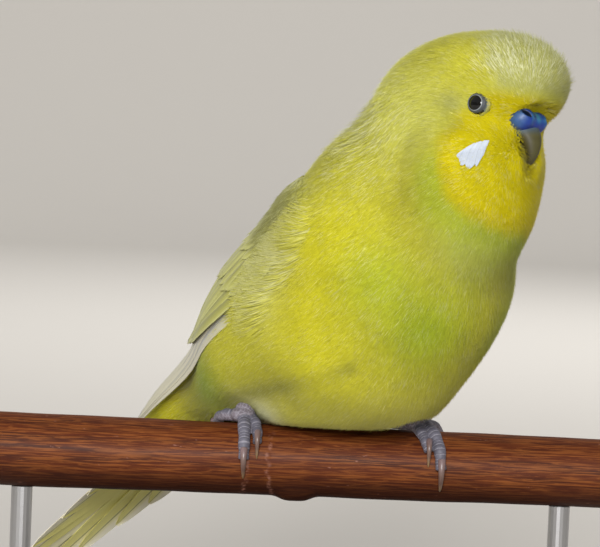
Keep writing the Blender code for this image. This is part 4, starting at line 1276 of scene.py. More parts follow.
tail_to_bird = Matrix.Translation(TAIL_ROOT) @ Matrix.Rotation(math.radians(-TAIL_DROP), 4, "Y")
tail_to_bird = tail_to_bird @ Matrix.Rotation(math.radians(-TAIL_ROLL), 4, "X")
tail_to_bird = tail_to_bird @ Matrix.Scale(-1, 4, (1, 0, 0))


def tail_points(pair, side, x, y, z):
    """Points of the tail feathers: pair 0 is the longest and lies on top."""
    along = y * np.array(TAIL_LENGTHS)[pair]
    middle = side * (TAIL_SPREAD[0] + TAIL_SPREAD[1] * pair) * (0.5 + 0.5 * along / TAIL_FAN)
    wide = TAIL_HALF_WIDTH * vane_outline(y, 0.5) * (1.0 - 0.12 * rising(y, 0.6, 1.0))
    across = middle + wide * x
    height = -TAIL_STEP * pair - 0.22 * (side < 0) - 0.012 * pair * across * side
    height = height + 0.30 * (1 - x**2) - 0.18 * x * side - (1 - z) * TAIL_THICK
    return moved(np.stack([along, across, height], -1), tail_to_bird)


PAIRS = len(TAIL_LENGTHS)
pairs = np.repeat(np.arange(PAIRS), 2)[:, None]
sides = np.tile([1.0, -1.0], PAIRS)[:, None]
x, y, z = [np.repeat(VANE_PLACES[None, :, i], 2 * PAIRS, 0) for i in range(3)]
tail_shape = tail_points(pairs + 0 * x.astype(int), sides + 0 * x, x, y, z)
in_mm = y * np.array(TAIL_LENGTHS)[pairs]
tint = blend_to(TAIL_GREY, TAIL_BAND, np.where(pairs == 0, 0.25, 0.8) * rising(x * sides, 0.6, -0.3))
# Painted shade towards the tail's root, near the branch
tint = blend_to(tint, TAIL_SHADE_AND_DARK_TIP, 0.35 * rising(in_mm, 46.0, 26.0))
# A dark tip on the outer, shortest pair
tint = blend_to(tint, TAIL_SHADE_AND_DARK_TIP, 0.8 * (pairs == PAIRS - 1) * rising(y, 0.86, 0.97))
tone = 0.95 + 0.1 * np.random.default_rng(TAIL_SEED).random((2 * PAIRS, 1))
tail = vane_mesh("tail_vanes", tail_shape, tint * tone[..., None], np.stack([0.5 + 0.5 * x, in_mm], -1))
tail.data.materials.append(web_material("tail_web", TAIL_SHAFT, 0.6))
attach(tail, WHOLE)
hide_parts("tail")
print("tail:", len(tail.data.polygons), "faces")

# %% [markdown]
# ## Eyes and lids
# A budgerigar's eye is a dark, wet bead set in a ring of bare grey skin with fine folds.
# The bead is a sphere, darker in the middle than at its iris. The lid ring is a small
# profile with three folds, spun round the eye's axis, because a spin keeps folds even.

# %% Eye beads
EYE_ACROSS = 9.6
EYE_RADIUS = 3.1
PUPIL_RADIUS = 1.5
IRIS_RADIUS = 1.75
EYE_BLACK = paint(4, 4, 4)
IRIS_BROWN = paint(18, 15, 13)

head_to_world = to_world @ head_to_bird
eye_finish, tree, shader = new_material("eye_bead", {
    "Roughness": 0.04, "Specular IOR Level": 0.3, "Coat Weight": 0.3, "Coat Roughness": 0.02})
set_inputs(tree, shader, {"Base Color": painted(tree)})
for side, cad_name in ((-1, "eye_right"), (1, "eye_left")):
    bm = bmesh.new()
    bmesh.ops.create_uvsphere(bm, u_segments=48, v_segments=32, radius=EYE_RADIUS)
    bmesh.ops.rotate(bm, verts=bm.verts, matrix=Matrix.Rotation(math.pi / 2, 3, "X"))
    bmesh.ops.translate(bm, verts=bm.verts, vec=(0.0, side * EYE_ACROSS, 0.0))
    eye = placed(bm, cad_name.replace("eye", "eye_bead"), head_to_world)
    p = vertex_points(eye.data, head_to_world)
    ring = np.hypot(p[:, 0], p[:, 2])
    paint_vertices(eye.data, blend_to(EYE_BLACK, IRIS_BROWN, rising(ring, PUPIL_RADIUS, IRIS_RADIUS)))
    eye.data.materials.append(eye_finish)
    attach(eye, WHOLE)
    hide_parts(cad_name)
print("eyes:", len(eye.data.polygons), "faces each")

# %% Lid rings
# Distance from the eye's axis and distance from the head's middle, round the fold's section
LID_PROFILE = ((1.62, 11.70), (1.74, 12.10), (1.80, 12.32), (1.92, 12.34), (2.02, 12.16), (2.12, 12.22),
               (2.20, 12.08), (2.26, 11.88), (2.34, 11.90), (2.42, 11.76), (2.50, 11.52), (2.62, 11.36),
               (2.76, 11.16), (3.00, 11.06), (3.30, 10.90), (3.34, 10.30), (2.90, 9.80), (2.20, 10.60))
LID_TALL = 0.93
FOLD_FROM = 1.86
FOLD_PITCH = 0.32
LID_DARK = paint(46, 50, 55)
LID_FOLD = paint(78, 84, 88)
LID_PALE = paint(140, 145, 146)
LID_INNER = paint(24, 24, 24)
LID_OUTER = paint(92, 100, 84)
LID_YELLOW = paint(134, 130, 44)

lid_finish = waxy_material("lid_skin", 0.5, 2600.0, 0.00008, coat=0.0, strength=0.5)
for side in (-1, 1):
    bm = spun([(r, side * y, 0.0) for r, y in LID_PROFILE], (0, 1, 0), closed=True)
    bmesh.ops.scale(bm, verts=bm.verts, vec=(1.0, 1.0, LID_TALL))
    lid = placed(bm, "lid_right" if side < 0 else "lid_left", head_to_world)
    p = vertex_points(lid.data, head_to_world)
    ring = np.hypot(p[:, 0], p[:, 2] / LID_TALL)
    folds = 0.5 + 0.5 * np.cos((ring - FOLD_FROM) * 2 * math.pi / FOLD_PITCH)
    tint = blend_to(LID_DARK, LID_FOLD, 0.6 * folds)
    tint = blend_to(tint, LID_PALE, rising(ring, 2.04, 1.94) * rising(ring, 1.80, 1.86))
    tint = blend_to(tint, LID_INNER, rising(ring, 1.86, 1.78))
    tint = blend_to(tint, LID_OUTER, rising(ring, 2.5, 2.8))
    tint = blend_to(tint, LID_YELLOW, 0.9 * rising(ring, 2.8, 3.1))
    paint_vertices(lid.data, tint)
    lid.data.materials.append(lid_finish)
    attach(lid, WHOLE)
print("lids:", len(lid.data.polygons), "faces each")

# %% [markdown]
# ## Cere and bill
# The cere is a blue, waxy swelling over the bill, with two nostrils that have raised rims.
# It is three soft lobes melted together, so the same ray casting that made the skin makes it
# from a sphere, with rims and pits worked into the distance. The bill is a sphere drawn out
# along an arc into a hook.

# %% Cere
CERE_MIDDLE = (5.4, 0.0, -2.4)
CERE_LOBES = (
    ((6.3, 2.1, -2.1), (3.4, 2.9, 2.7)),
    ((6.3, -2.5, -2.0), (3.4, 3.3, 2.8)),
    ((6.4, 0.0, -2.4), (3.2, 2.4, 2.3)),
)
LOBE_SOFTNESS = 0.9
NOSTRIL_AT = (8.75, 4.0, -0.75)
NOSTRIL_RADII = (1.2, 1.3, 0.42)
NOSTRIL_SLANT = 40.0
NOSTRIL_RIM = 0.16
NOSTRIL_RIM_WIDTH = 0.42
NOSTRIL_SOFTNESS = 0.18
CERE_REACH = 12.0
CERE_BLUE = paint(12, 50, 130)
CERE_ROYAL = paint(16, 34, 112)
CERE_TURQUOISE_AND_HIGHLIGHT = paint(56, 138, 158)
CERE_SLATE = paint(58, 96, 128)
NOSTRIL_SHADE = paint(8, 20, 38)


def nostril_distance(points):
    """Signed distance to the nostrils' slanting pits, in the head's frame."""
    q = points.copy()
    q[..., 1] = np.abs(q[..., 1])
    q = q - NOSTRIL_AT
    slant = math.radians(NOSTRIL_SLANT)
    across = q[..., 1] * math.cos(slant) + q[..., 2] * math.sin(slant)
    up = -q[..., 1] * math.sin(slant) + q[..., 2] * math.cos(slant)
    return ellipsoid_distance(np.stack([q[..., 0], across, up], -1), (0, 0, 0), NOSTRIL_RADII)


def cere_distance(points):
    """Signed distance to the cere in the head's frame."""
    total = None
    for centre, radii in CERE_LOBES:
        d = ellipsoid_distance(points, centre, radii)
        total = d if total is None else soft_union(total, d, LOBE_SOFTNESS)
    pit = nostril_distance(points)
    total = total - NOSTRIL_RIM * np.exp(-(((pit - NOSTRIL_RIM_WIDTH) / NOSTRIL_RIM_WIDTH) ** 2))
    return -soft_union(-total, pit, NOSTRIL_SOFTNESS)


def from_cere_middle(ways, level=0.0):
    """Points of the cere along ways from its middle."""
    return cast(cere_distance, np.broadcast_to(CERE_MIDDLE, ways.shape), ways, level, CERE_REACH)


bm = bmesh.new()
bmesh.ops.create_uvsphere(bm, u_segments=200, v_segments=150, radius=1.0)
cere_points = from_cere_middle(places_of(bm))
set_places(bm, cere_points)
cere = placed(bm, "cere_skin", head_to_world)
x, y, z = cere_points.T
aside = np.abs(y)
pit = nostril_distance(cere_points)
tint = blend_to(CERE_BLUE, CERE_ROYAL, rising(z, -2.2, -4.0) * rising(aside, 4.6, 2.2))
tint = blend_to(tint, CERE_SLATE, 0.5 * rising(aside, 3.6, 5.4))
# Turquoise about the nostrils
tint = blend_to(tint, CERE_TURQUOISE_AND_HIGHLIGHT, 0.9 * np.exp(-((pit / 0.75) ** 2)) * rising(aside, 3.4, 2.2))
# Painted highlight: turquoise along the cere's top middle
tint = blend_to(tint, CERE_TURQUOISE_AND_HIGHLIGHT, 0.7 * np.exp(-((y / 0.9) ** 2)) * rising(z, -3.0, -1.2))
# Painted shade in the nostril pits
tint = blend_to(tint, NOSTRIL_SHADE, 0.97 * rising(pit, 0.22, 0.06))
paint_vertices(cere.data, tint * (1.0 + 0.10 * waviness(cere_points, 1.6, 8))[:, None])
cere.data.materials.append(waxy_material("cere_wax", 0.5, 1600.0, 0.0001, 0.1))
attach(cere, WHOLE)
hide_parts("cere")
print("cere:", len(cere.data.polygons), "faces")


# %% Forms from a sphere
def along_sphere(u_segments, v_segments):
    """A UV sphere for a form drawn along a line: its bmesh, turns, and shares from pole to pole."""
    bm = bmesh.new()
    bmesh.ops.create_uvsphere(bm, u_segments=u_segments, v_segments=v_segments, radius=1.0)
    p = places_of(bm)
    return bm, np.arctan2(p[:, 1], p[:, 0]), 0.5 - np.arcsin(np.clip(p[:, 2], -1, 1)) / math.pi


def ball_at(centre, radii, u_segments, v_segments):
    """bmesh of an ellipsoid."""
    bm = bmesh.new()
    bmesh.ops.create_uvsphere(bm, u_segments=u_segments, v_segments=v_segments, radius=1.0)
    bmesh.ops.scale(bm, verts=bm.verts, vec=radii)
    bmesh.ops.translate(bm, verts=bm.verts, vec=centre)
    return bm


# %% Bill
BILL_ARC_CENTRE = (3.6, 0.0, -7.6)
BILL_ARC_RADIUS = 5.7
BILL_SWEEP = (74.0, -50.0)
BILL_DEPTH = 2.7
BILL_HALF_WIDTH = 3.5
LOWER_AT = (3.2, 0.0, -8.9)
LOWER_RADII = (2.5, 2.5, 2.3)
HORN_OLIVE = paint(64, 60, 24)
HORN_DARK_AND_SHADE = paint(40, 33, 12)
HORN_PALE = paint(82, 78, 38)

bm, turn, share = along_sphere(56, 64)
angle = np.radians(BILL_SWEEP[0] + (BILL_SWEEP[1] - BILL_SWEEP[0]) * share)
radial = np.stack([np.cos(angle), 0 * angle, np.sin(angle)], -1)
closing = np.sqrt(np.clip(1 - (1 - np.clip(share / 0.05, 0, 1)) ** 2, 0, 1))
closing = closing * np.sqrt(np.clip(1 - np.clip((share - 0.97) / 0.03, 0, 1) ** 2, 0, 1))
narrowing = BILL_DEPTH * (1 - share**2.1)
half_width = (BILL_HALF_WIDTH * (1 - share**1.7) + 0.32) * closing
depth = (narrowing + 0.35) * closing
middle = BILL_ARC_CENTRE + radial * (BILL_ARC_RADIUS - narrowing + 0.8)[:, None]
ridge = 1.0 + 0.07 * np.exp(-((turn / 0.35) ** 2))
bill_points = middle + (np.cos(turn) * ridge * depth)[:, None] * radial
bill_points[:, 1] += np.sin(turn) * half_width
set_places(bm, bill_points)
bill = placed(bm, "bill_upper", head_to_world)
rings = 0.5 + 0.5 * np.sin(share * 46.0 + 0.8 * np.cos(turn))
tint = blend_to(HORN_OLIVE, HORN_PALE, 0.35 * rings * rising(share, 0.8, 0.3))
# Darker towards the tip
tint = blend_to(tint, HORN_DARK_AND_SHADE, 0.9 * rising(share, 0.72, 0.98))
tint = blend_to(tint, CERE_SLATE, 0.6 * rising(share, 0.46, 0.24))
# Painted shade on the bill's sides
tint = blend_to(tint, HORN_DARK_AND_SHADE, 0.5 * rising(np.abs(np.sin(turn)), 0.55, 0.95) * rising(share, 0.2, 0.5))
paint_vertices(bill.data, tint)
horn_finish = waxy_material("bill_horn", 0.6, 2200.0, 0.00005, 0.02)
bill.data.materials.append(horn_finish)
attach(bill, WHOLE)
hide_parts("beak_upper")

lower_bill = placed(ball_at(LOWER_AT, LOWER_RADII, 40, 28), "bill_lower", head_to_world)
lower_z = vertex_points(lower_bill.data, head_to_world)[:, 2]
# Painted shade towards the lower bill's underside
paint_vertices(lower_bill.data, blend_to(HORN_OLIVE, HORN_DARK_AND_SHADE, rising(lower_z, -8.0, -11.0)))
lower_bill.data.materials.append(horn_finish)
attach(lower_bill, WHOLE)
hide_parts("beak_lower")
print("bill:", len(bill.data.polygons), "and", len(lower_bill.data.polygons), "faces")

# %% Pale rim between cere and bill
RIM_THROUGH = ((4.0, -4.0, -3.9), (5.1, -3.6, -4.5), (6.7, -2.3, -4.7), (8.1, -0.9, -4.3), (8.5, 0.0, -4.1),
               (8.1, 0.9, -4.3), (6.7, 2.3, -4.7), (5.1, 3.6, -4.5), (4.0, 4.0, -3.9))
RIM_RADII = (0.05, 0.14, 0.16, 0.14, 0.05)
RIM_PALE = paint(196, 200, 196)


def drawn_along(line, radii, sides=16, flat=1.0):
    """bmesh of a round-ended bar drawn along a line of points in millimetres."""
    bm, turn, share = along_sphere(sides, 2 * len(line))
    share = np.clip((share - 0.04) / 0.92, 0, 1)
    closing = np.sin(np.clip(np.minimum(share, 1 - share) / 0.02, 0, 1) * math.pi / 2)
    at, way = smooth_line(line, share)
    guide = np.array([0.0, 0.0, 1.0]) if np.abs(way[:, 2]).max() < 0.9 else np.array([1.0, 0.0, 0.0])
    across = unit(np.cross(way, guide))
    up = np.cross(across, way)
    r = np.interp(share, np.linspace(0, 1, len(radii)), radii) * closing
    set_places(bm, at + r[:, None] * (np.cos(turn)[:, None] * across + flat * np.sin(turn)[:, None] * up))
    return bm


ways = unit(smooth_line(RIM_THROUGH, np.linspace(0, 1, 48))[0] - CERE_MIDDLE)
rim = placed(drawn_along(from_cere_middle(ways, 0.02), RIM_RADII), "cere_rim", head_to_world)
paint_vertices(rim.data, RIM_PALE)
rim.data.materials.append(horn_finish)
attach(rim, WHOLE)
print("rim:", len(rim.data.polygons), "faces")

# %% [markdown]
# ## Feet and claws
# Two toes point forwards and two back, wrapped round the branch. Their skin has broad
# scutes across the top and small scales at the sides. Separate bars would show seams where
# the toes meet, so each foot's bars are melted into one surface by a voxel remesh. Then
# every point asks which toe it lies on and how far along, and is raised or lowered to
# cut the scutes.

# %% Foot measures
PERCH_RADIUS = 8.8
PERCH_TAPER = 0.3
PERCH_LENGTH = 168.0
SKIN_GAP = 0.15
# For each foot the places of its joint and hock, and for each toe its path as places along the
# perch and degrees forwards from its top, its radius, and how far its claw reaches in degrees
FEET = {
    "right": {"joint": (-12.4, -2.0), "hock": (-8.0, 6.0, 20.0), "toes": (
        ("3", ((-12.2, 6.0), (-11.8, 50.0), (-11.7, 84.0)), 1.5, 30.0),
        ("2", ((-10.6, 6.0), (-8.9, 35.0), (-8.6, 60.0)), 1.3, 22.0),
        ("4", ((-14.0, 0.0), (-17.3, -12.0), (-19.8, -60.0)), 1.45, 28.0),
        ("1", ((-10.8, -14.0), (-7.2, -42.0), (-6.6, -64.0)), 1.25, 22.0))},
    "left": {"joint": (29.8, -2.0), "hock": (25.0, 6.0, 20.0), "toes": (
        ("3", ((31.4, 6.0), (35.0, 48.0), (36.0, 88.0)), 1.5, 36.0),
        ("2", ((29.6, 12.0), (31.6, 38.0), (32.9, 62.0)), 1.3, 22.0),
        ("4", ((31.8, -14.0), (35.8, -44.0), (37.0, -84.0)), 1.5, 28.0),
        ("1", ((28.0, 6.0), (24.5, 3.0), (21.0, -8.0)), 1.5, 22.0))},
}
SCUTE_PITCH = 0.95
SCUTE_DEPTH = 0.07
BAR_SIDES = 20
PAD_RADII = (3.1, 2.9, 1.95)
MELT_VOXEL = 0.21
MELT_SMOOTHING = 3
FOOT_GREY = paint(92, 90, 102)
FOOT_PALE = paint(158, 154, 164)
FOOT_PINK = paint(122, 110, 116)
print("toes:", sum(len(foot["toes"]) for foot in FEET.values()))


def round_perch(along, turn, lift):
    """Point over the perch: along X, turned towards the front from its top, lifted off it."""
    a = np.radians(turn)
    r = PERCH_RADIUS - PERCH_TAPER * np.asarray(along) / (0.5 * PERCH_LENGTH) + lift
    return np.stack([along + 0 * a, -r * np.sin(a), PERCH_HEIGHT + r * np.cos(a)], -1)


def toe_line(path, radius):
    """Centre line and radii of a toe that lies on the perch, with its knuckles."""
    share = np.linspace(0, 1, 16)
    along, turn = smooth_line([(x, a, 0.0) for x, a in path], share)[0][:, :2].T
    thick = radius * (1.14 - 0.30 * share + 0.07 * np.cos(share * 6 * math.pi))
    return round_perch(along, turn, SKIN_GAP + thick), thick, turn[-1], along[-1]


# %% Melt bars together
IDENTITY = Matrix.Identity(4)


def joined(objects, name):
    """One object from several, which are removed."""
    bm = bmesh.new()
    for obj in objects:
        bm.from_mesh(obj.data)
        bpy.data.objects.remove(obj)
    mesh = bpy.data.meshes.new(name)
    bm.to_mesh(mesh)
    bm.free()
    return new_object(name, mesh)


def remeshed(obj, voxel_mm, smooth_steps):
    """Applies a voxel remesh and a few steps of smoothing."""
    modifier = obj.modifiers.new("melt", "REMESH")
    modifier.mode = "VOXEL"
    modifier.voxel_size = voxel_mm * MM
    smooth = obj.modifiers.new("smooth", "SMOOTH")
    smooth.iterations = smooth_steps
    bpy.context.view_layer.update()
    mesh = bpy.data.meshes.new_from_object(obj.evaluated_get(bpy.context.evaluated_depsgraph_get()))
    obj.modifiers.clear()
    obj.data = mesh
    return obj


# %% Bars of a foot
def foot_bones(side):
    """Bars of a foot as lines with radii, its shank first; its joint; and the places of its claws."""
    foot = FEET[side]
    x, y = foot["joint"]
    joint = np.array([x, y, PERCH_HEIGHT + math.sqrt(PERCH_RADIUS**2 - y * y) + 2.7])
    hock = np.array(foot["hock"]) + (0.0, 0.0, PERCH_HEIGHT)
    shank = joint + (hock - joint) * np.linspace(0, 1, 12)[:, None]
    bones = [(shank, 2.2 + 0.3 * np.cos(np.linspace(0, 6, 12)))]
    claws = []
    for number, path, radius, reach in foot["toes"]:
        line, thick, last_turn, last_along = toe_line(path, radius)
        start = joint + 0.4 * (line[0] - joint)
        bones.append((np.vstack([start, line]), np.append(thick[0], thick)))
        sign = 1.0 if path[-1][1] > path[0][1] else -1.0
        claws.append((number, last_along, last_turn, radius, reach, sign))
    return bones, joint, claws


def along_bones(points, bones):
    """For each point how far along its nearest bar it lies, and how much it faces the bar's top."""
    best, along, top = np.full(len(points), 1e9), np.zeros(len(points)), np.zeros(len(points))
    steps = np.linspace(0, 1, 120)
    for index, (line, radii) in enumerate(bones):
        at = smooth_line(line, steps)[0]
        travelled = np.concatenate([[0.0], np.cumsum(np.linalg.norm(np.diff(at, axis=0), axis=1))])
        thick = np.interp(steps, np.linspace(0, 1, len(radii)), radii)
        off = np.linalg.norm(points[:, None] - at[None], axis=-1) - thick
        near = off.argmin(1)
        away = at[near] - (0.0, 0.0, PERCH_HEIGHT)
        away[:, 0] = 0.0
        if index == 0:
            away = np.broadcast_to(AXIS_Y, away.shape)
        facing = (unit(points - at[near]) * unit(away)).sum(-1)
        closer = off.min(1) < best
        best = np.where(closer, off.min(1), best)
        along = np.where(closer, travelled[near] + 0.4 * index, along)
        top = np.where(closer, facing, top)
    return along, top


# %% Melt a foot and cut its scutes
def make_foot(side):
    """Skin of one foot, melted, cut into scutes and painted; and the places of its claws."""
    bones, joint, claws = foot_bones(side)
    parts = [placed(drawn_along(line, radii, BAR_SIDES), "bone", IDENTITY) for line, radii in bones]
    parts.append(placed(ball_at(joint + (0.0, 0.0, -0.2), PAD_RADII, 32, 20), "pad", IDENTITY))
    skin = remeshed(joined(parts, f"foot_skin_{side}"), MELT_VOXEL, MELT_SMOOTHING)
    p = vertex_points(skin.data, IDENTITY)
    along, top = along_bones(p, bones)
    normal = np.empty(len(p) * 3, np.float32)
    skin.data.vertices.foreach_get("normal", normal)
    phase = (along / SCUTE_PITCH) % 1.0
    band = np.clip(np.minimum(phase, 1 - phase) / 0.3, 0, 1)
    dorsal = rising(top, -0.1, 0.4)
    push = dorsal * SCUTE_DEPTH * (band - 0.5) + (1 - dorsal) * 0.05 * waviness(p, 1.5, 21)
    p = p + normal.reshape(-1, 3) * push[:, None]
    skin.data.vertices.foreach_set("co", (p * MM).astype(np.float32).ravel())
    places = np.stack([along / SCUTE_PITCH, dorsal, 0 * dorsal], -1).astype(np.float32)
    skin.data.attributes.new("scute", "FLOAT_VECTOR", "POINT").data.foreach_set("vector", places.ravel())
    skin.data.shade_smooth()
    tint = blend_to(FOOT_GREY, FOOT_PINK, 0.6 * (1 - dorsal))
    paint_vertices(skin.data, tint * (1 + 0.08 * waviness(p, 3.0, 9))[:, None])
    return skin, claws


# %% Scaled skin
def foot_material():
    """Scaled skin: pale lines between bands on top, and in a net between small scales elsewhere."""
    made, tree, shader = new_material("foot_scales", {"Roughness": 0.55})
    net = add_node(tree, "ShaderNodeTexVoronoi", {"Vector": own_place(tree), "Scale": 1150.0},
                   feature="DISTANCE_TO_EDGE").outputs["Distance"]
    scute = add_node(tree, "ShaderNodeAttribute", attribute_name="scute").outputs["Vector"]
    along, dorsal = [add_node(tree, "ShaderNodeSeparateXYZ", {0: scute}).outputs[part] for part in "XY"]
    band = maths(tree, "PINGPONG", along, 0.5)
    net_lines, band_lines = [ranged(tree, value, (0.0, width), (1.0, 0.0), "SMOOTHSTEP")
                             for value, width in ((net, 0.16), (band, 0.17))]
    lines = add_node(tree, "ShaderNodeMix", {"Factor": dorsal, "A": net_lines, "B": band_lines},
                     data_type="FLOAT").outputs["Result"]
    tint = tinted(tree, painted(tree), rgba(FOOT_PALE), maths(tree, "MULTIPLY", lines, 0.6))
    set_inputs(tree, shader, {"Base Color": tint, "Normal": bump(tree, lines, 0.7, 0.00012, invert=True)})
    return made


foot_finish = foot_material()
print("foot finish:", len(foot_finish.node_tree.nodes), "nodes")

# %% Feet and claws
CLAW_PALE = paint(118, 98, 98)
CLAW_HORN = paint(104, 82, 74)
CLAW_TIP = paint(140, 114, 80)
CLAW_ROOT_BACK = 15.0
CLAW_STEPS = 24
CLAW_END_LIFT = 0.30
CLAW_HUMP = 0.75
claw_finish = waxy_material("claw_horn", 0.38, 1800.0, 0.00004)


def make_claw(name, along, turn, radius, reach, sign):
    """Claw that springs from the top of the toe's last joint and hooks down to the perch."""
    share = np.linspace(0, 1, CLAW_STEPS)
    claw_turn = turn + sign * (-CLAW_ROOT_BACK + (reach + CLAW_ROOT_BACK) * share)
    top = SKIN_GAP + 1.62 * radius
    hump = CLAW_HUMP * np.sin(np.clip(share * 1.5, 0, 1) * math.pi)
    lift = CLAW_END_LIFT + (top - CLAW_END_LIFT + hump) * (1 - share**2.6)
    thick = 0.50 * radius * (1 - share) ** 0.75 + 0.07
    line = round_perch(np.full(CLAW_STEPS, along), claw_turn, lift)
    claw = placed(drawn_along(line, thick, BAR_SIDES, 1.15), name, IDENTITY)
    p = vertex_points(claw.data, IDENTITY)
    where = np.degrees(np.arctan2(-p[:, 1], p[:, 2] - PERCH_HEIGHT))
    where = np.clip((sign * (where - turn) + CLAW_ROOT_BACK) / (reach + CLAW_ROOT_BACK), 0, 1)
    tint = blend_to(CLAW_PALE, CLAW_HORN, rising(where, 0.05, 0.4))
    paint_vertices(claw.data, blend_to(tint, CLAW_TIP, rising(where, 0.55, 0.95)))
    claw.data.materials.append(claw_finish)
    return claw


for side in ("right", "left"):
    foot, claws = make_foot(side)
    foot.data.materials.append(foot_finish)
    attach(foot, WHOLE)
    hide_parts(f"leg_{side}", *[f"toe_{side}_{n}" for n in "1234"])
    for number, along, turn, radius, reach, sign in claws:
        claw = make_claw(f"claw_horn_{side}_{number}", along, turn, radius, reach, sign)
        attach(claw, WHOLE)
        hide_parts(f"claw_{side}_{number}")
    print(foot.name, len(foot.data.polygons), "faces")

# %% [markdown]
# ## Branch
# The perch is a smooth, varnished natural branch: reddish brown, with fine lighter streaks
# along it, a small knot below, painted shade underneath, and worn, scratched spots. It is a
# sphere drawn out along X so that its ends are closed, with slow swellings and the knot
# pushed into its points. The streaks are noise, stretched along the branch.

# %% Branch shape
KNOT_AT = (1.0, 165.0)
KNOT_HEIGHT = 1.25
KNOT_LENGTH = 4.2
SCAR_WIDTH = 0.24
SCAR_HEIGHT = 0.12
END_SHARE = 0.025
ON_THE_ROUND = 0.10

bm, turn, share = along_sphere(112, 260)
run = np.clip((share - END_SHARE) / (1 - 2 * END_SHARE), 0, 1)
x = (run - 0.5) * PERCH_LENGTH
swell = 0.10 * np.sin(x / 13.0 + 2 * turn) + 0.07 * np.sin(x / 7.0 - 3 * turn)
swell = swell + 0.05 * np.sin(x / 3.1 + 5 * turn)
knot = np.exp(-(((x - KNOT_AT[0]) / KNOT_LENGTH) ** 4))
knot = knot * np.clip(np.cos(turn - math.radians(KNOT_AT[1])), 0, 1) ** 8
right_line = x + 5.3 - 0.6 * np.cos(turn * 2.2) - 0.25 * np.sin(turn * 13.0)
left_line = x + 11.3 + 0.5 * np.sin(turn * 3) + 0.25 * np.sin(turn * 17.0)
scar = np.exp(-((right_line / SCAR_WIDTH) ** 2)) * rising(np.cos(turn - 1.75), 0.2, 0.7)
scar = scar + np.exp(-((left_line / SCAR_WIDTH) ** 2)) * rising(np.cos(turn - 2.0), 0.4, 0.8)
radius = PERCH_RADIUS - ON_THE_ROUND - PERCH_TAPER * x / (0.5 * PERCH_LENGTH)
radius = radius + swell * 0.6 + KNOT_HEIGHT * knot + SCAR_HEIGHT * scar
rim_round = np.clip(np.minimum(share, 1 - share) / END_SHARE, 0, 1)
radius = radius * np.sqrt(np.clip(1 - (1 - rim_round) ** 6, 0, 1))
set_places(bm, np.stack([x, -radius * np.sin(turn), PERCH_HEIGHT + radius * np.cos(turn)], -1))
perch = placed(bm, "branch", IDENTITY)
perch.data.attributes.new("scar", "FLOAT", "POINT").data.foreach_set("value", scar.astype(np.float32))
print("branch:", len(perch.data.polygons), "faces")

# %% Varnished wood
WOOD_BROWN = paint(80, 34, 12)
WOOD_LIGHT = paint(140, 80, 34)
WOOD_DARK_GRAIN_AND_SHADE = paint(40, 17, 10)
WOOD_SCRATCH = paint(150, 104, 88)


def streak_group():
    """Group of streaks along X: a stretched noise between two limits."""
    numbers = {"Along": 30.0, "Across": 700.0, "Low": 0.4, "High": 0.6}
    group, given, end = new_group("grain_streaks", numbers, ("Mask",))
    scale = add_node(group, "ShaderNodeCombineXYZ", {
        "X": given["Along"], "Y": given["Across"], "Z": given["Across"]}).outputs["Vector"]
    stretch = add_node(group, "ShaderNodeVectorMath", {0: given["Vector"], 1: scale}, operation="MULTIPLY")
    streaks = noise(group, stretch.outputs["Vector"], 1.0, 5.0, 0.4)
    mask = ranged(group, streaks, (given["Low"], given["High"]), interpolation="SMOOTHSTEP")
    set_inputs(group, end, {"Mask": mask})
    return group


GRAIN_STREAKS = streak_group()


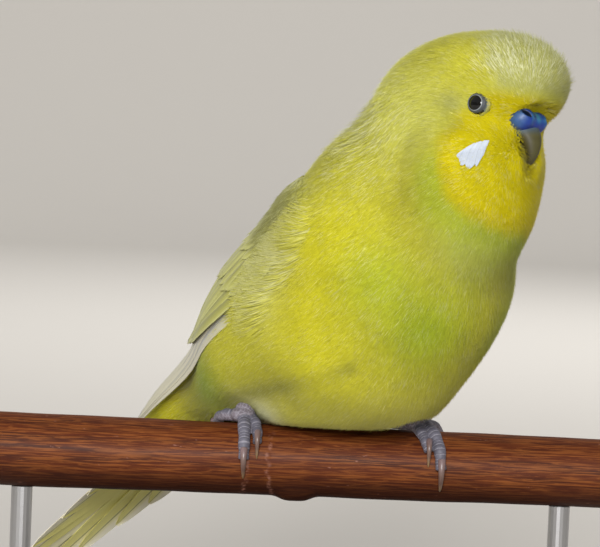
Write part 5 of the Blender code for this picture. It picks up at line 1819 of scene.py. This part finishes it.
def wood_material():
    """Varnished wood: layers of streaks, painted shade towards the bottom, and scratches where it is worn."""
    made, tree, shader = new_material("varnished_wood", {
        "Roughness": 0.62, "Specular IOR Level": 0.15, "Coat Weight": 0.03, "Coat Roughness": 0.3})
    place = own_place(tree)

    def streaks(along, across, low, high):
        """Mask of streaks with these scales along and across, between two limits of the noise."""
        inputs = {"Vector": place, "Along": along, "Across": across, "Low": low, "High": high}
        return add_node(tree, "ShaderNodeGroup", inputs, node_tree=GRAIN_STREAKS).outputs["Mask"]

    fine = streaks(110.0, 2600.0, 0.42, 0.66)
    # Painted shade: the branch is darker towards its bottom
    height = add_node(tree, "ShaderNodeSeparateXYZ", {0: place}).outputs["Z"]
    limits = ((PERCH_HEIGHT - 1.0) * MM, (PERCH_HEIGHT - 6.5) * MM)
    painted_shade_below = ranged(tree, height, limits, interpolation="SMOOTHSTEP")
    scar = add_node(tree, "ShaderNodeAttribute", attribute_name="scar").outputs["Fac"]
    scarred = maths(tree, "MULTIPLY", scar, streaks(900.0, 1400.0, 0.38, 0.56))
    wood = rgba(WOOD_BROWN)
    for colour, mask, share in (
            (WOOD_DARK_GRAIN_AND_SHADE, streaks(40.0, 600.0, 0.46, 0.64), 0.5),
            (WOOD_LIGHT, fine, 0.6),
            (WOOD_LIGHT, streaks(260.0, 2400.0, 0.56, 0.70), 0.5),
            (WOOD_DARK_GRAIN_AND_SHADE, painted_shade_below, 0.8),
            (WOOD_SCRATCH, scarred, 0.7),
            (WOOD_SCRATCH, streaks(420.0, 1300.0, 0.69, 0.75), 0.6)):
        wood = tinted(tree, wood, rgba(colour), maths(tree, "MULTIPLY", mask, share))
    set_inputs(tree, shader, {"Base Color": wood, "Normal": bump(tree, fine, 0.25, 0.0001)})
    return made


perch.data.materials.append(wood_material())
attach(perch, WHOLE)
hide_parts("perch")
print("wood finish:", len(perch.data.materials[0].node_tree.nodes), "nodes")

# %% [markdown]
# ## Stand
# The base and rods are right as packed, so they stay and only get a finish: a black satin
# lacquer with a faint grain, and steel brushed round the rods.

# %% Stand finishes
LACQUER_DARK = paint(34, 34, 37)
LACQUER_LIGHT = paint(46, 46, 49)
STEEL = paint(186, 186, 188)
BRUSHED = (200.0, 200.0, 9000.0)

base_finish, tree, shader = new_material("black_lacquer", {"Roughness": 0.38, "Coat Weight": 0.3})
fine = noise(tree, own_place(tree), 900.0, 3.0)
set_inputs(tree, shader, {"Base Color": tinted(tree, rgba(LACQUER_DARK), rgba(LACQUER_LIGHT), fine),
                          "Normal": bump(tree, fine, 0.12, 0.00008)})
rod_finish, tree, shader = new_material("brushed_steel", {"Metallic": 1.0, "Base Color": rgba(STEEL)})
lines = add_node(tree, "ShaderNodeMapping", {"Vector": own_place(tree), "Scale": BRUSHED}).outputs["Vector"]
set_inputs(tree, shader, {"Roughness": ranged(tree, noise(tree, lines, 1.0, 2.0), then=(0.24, 0.42))})
for name, material in (("stand_base", base_finish), ("stand_rod_1", rod_finish), ("stand_rod_2", rod_finish)):
    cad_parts[name].material_slots[0].material = material
    print(name, "has", material.name)
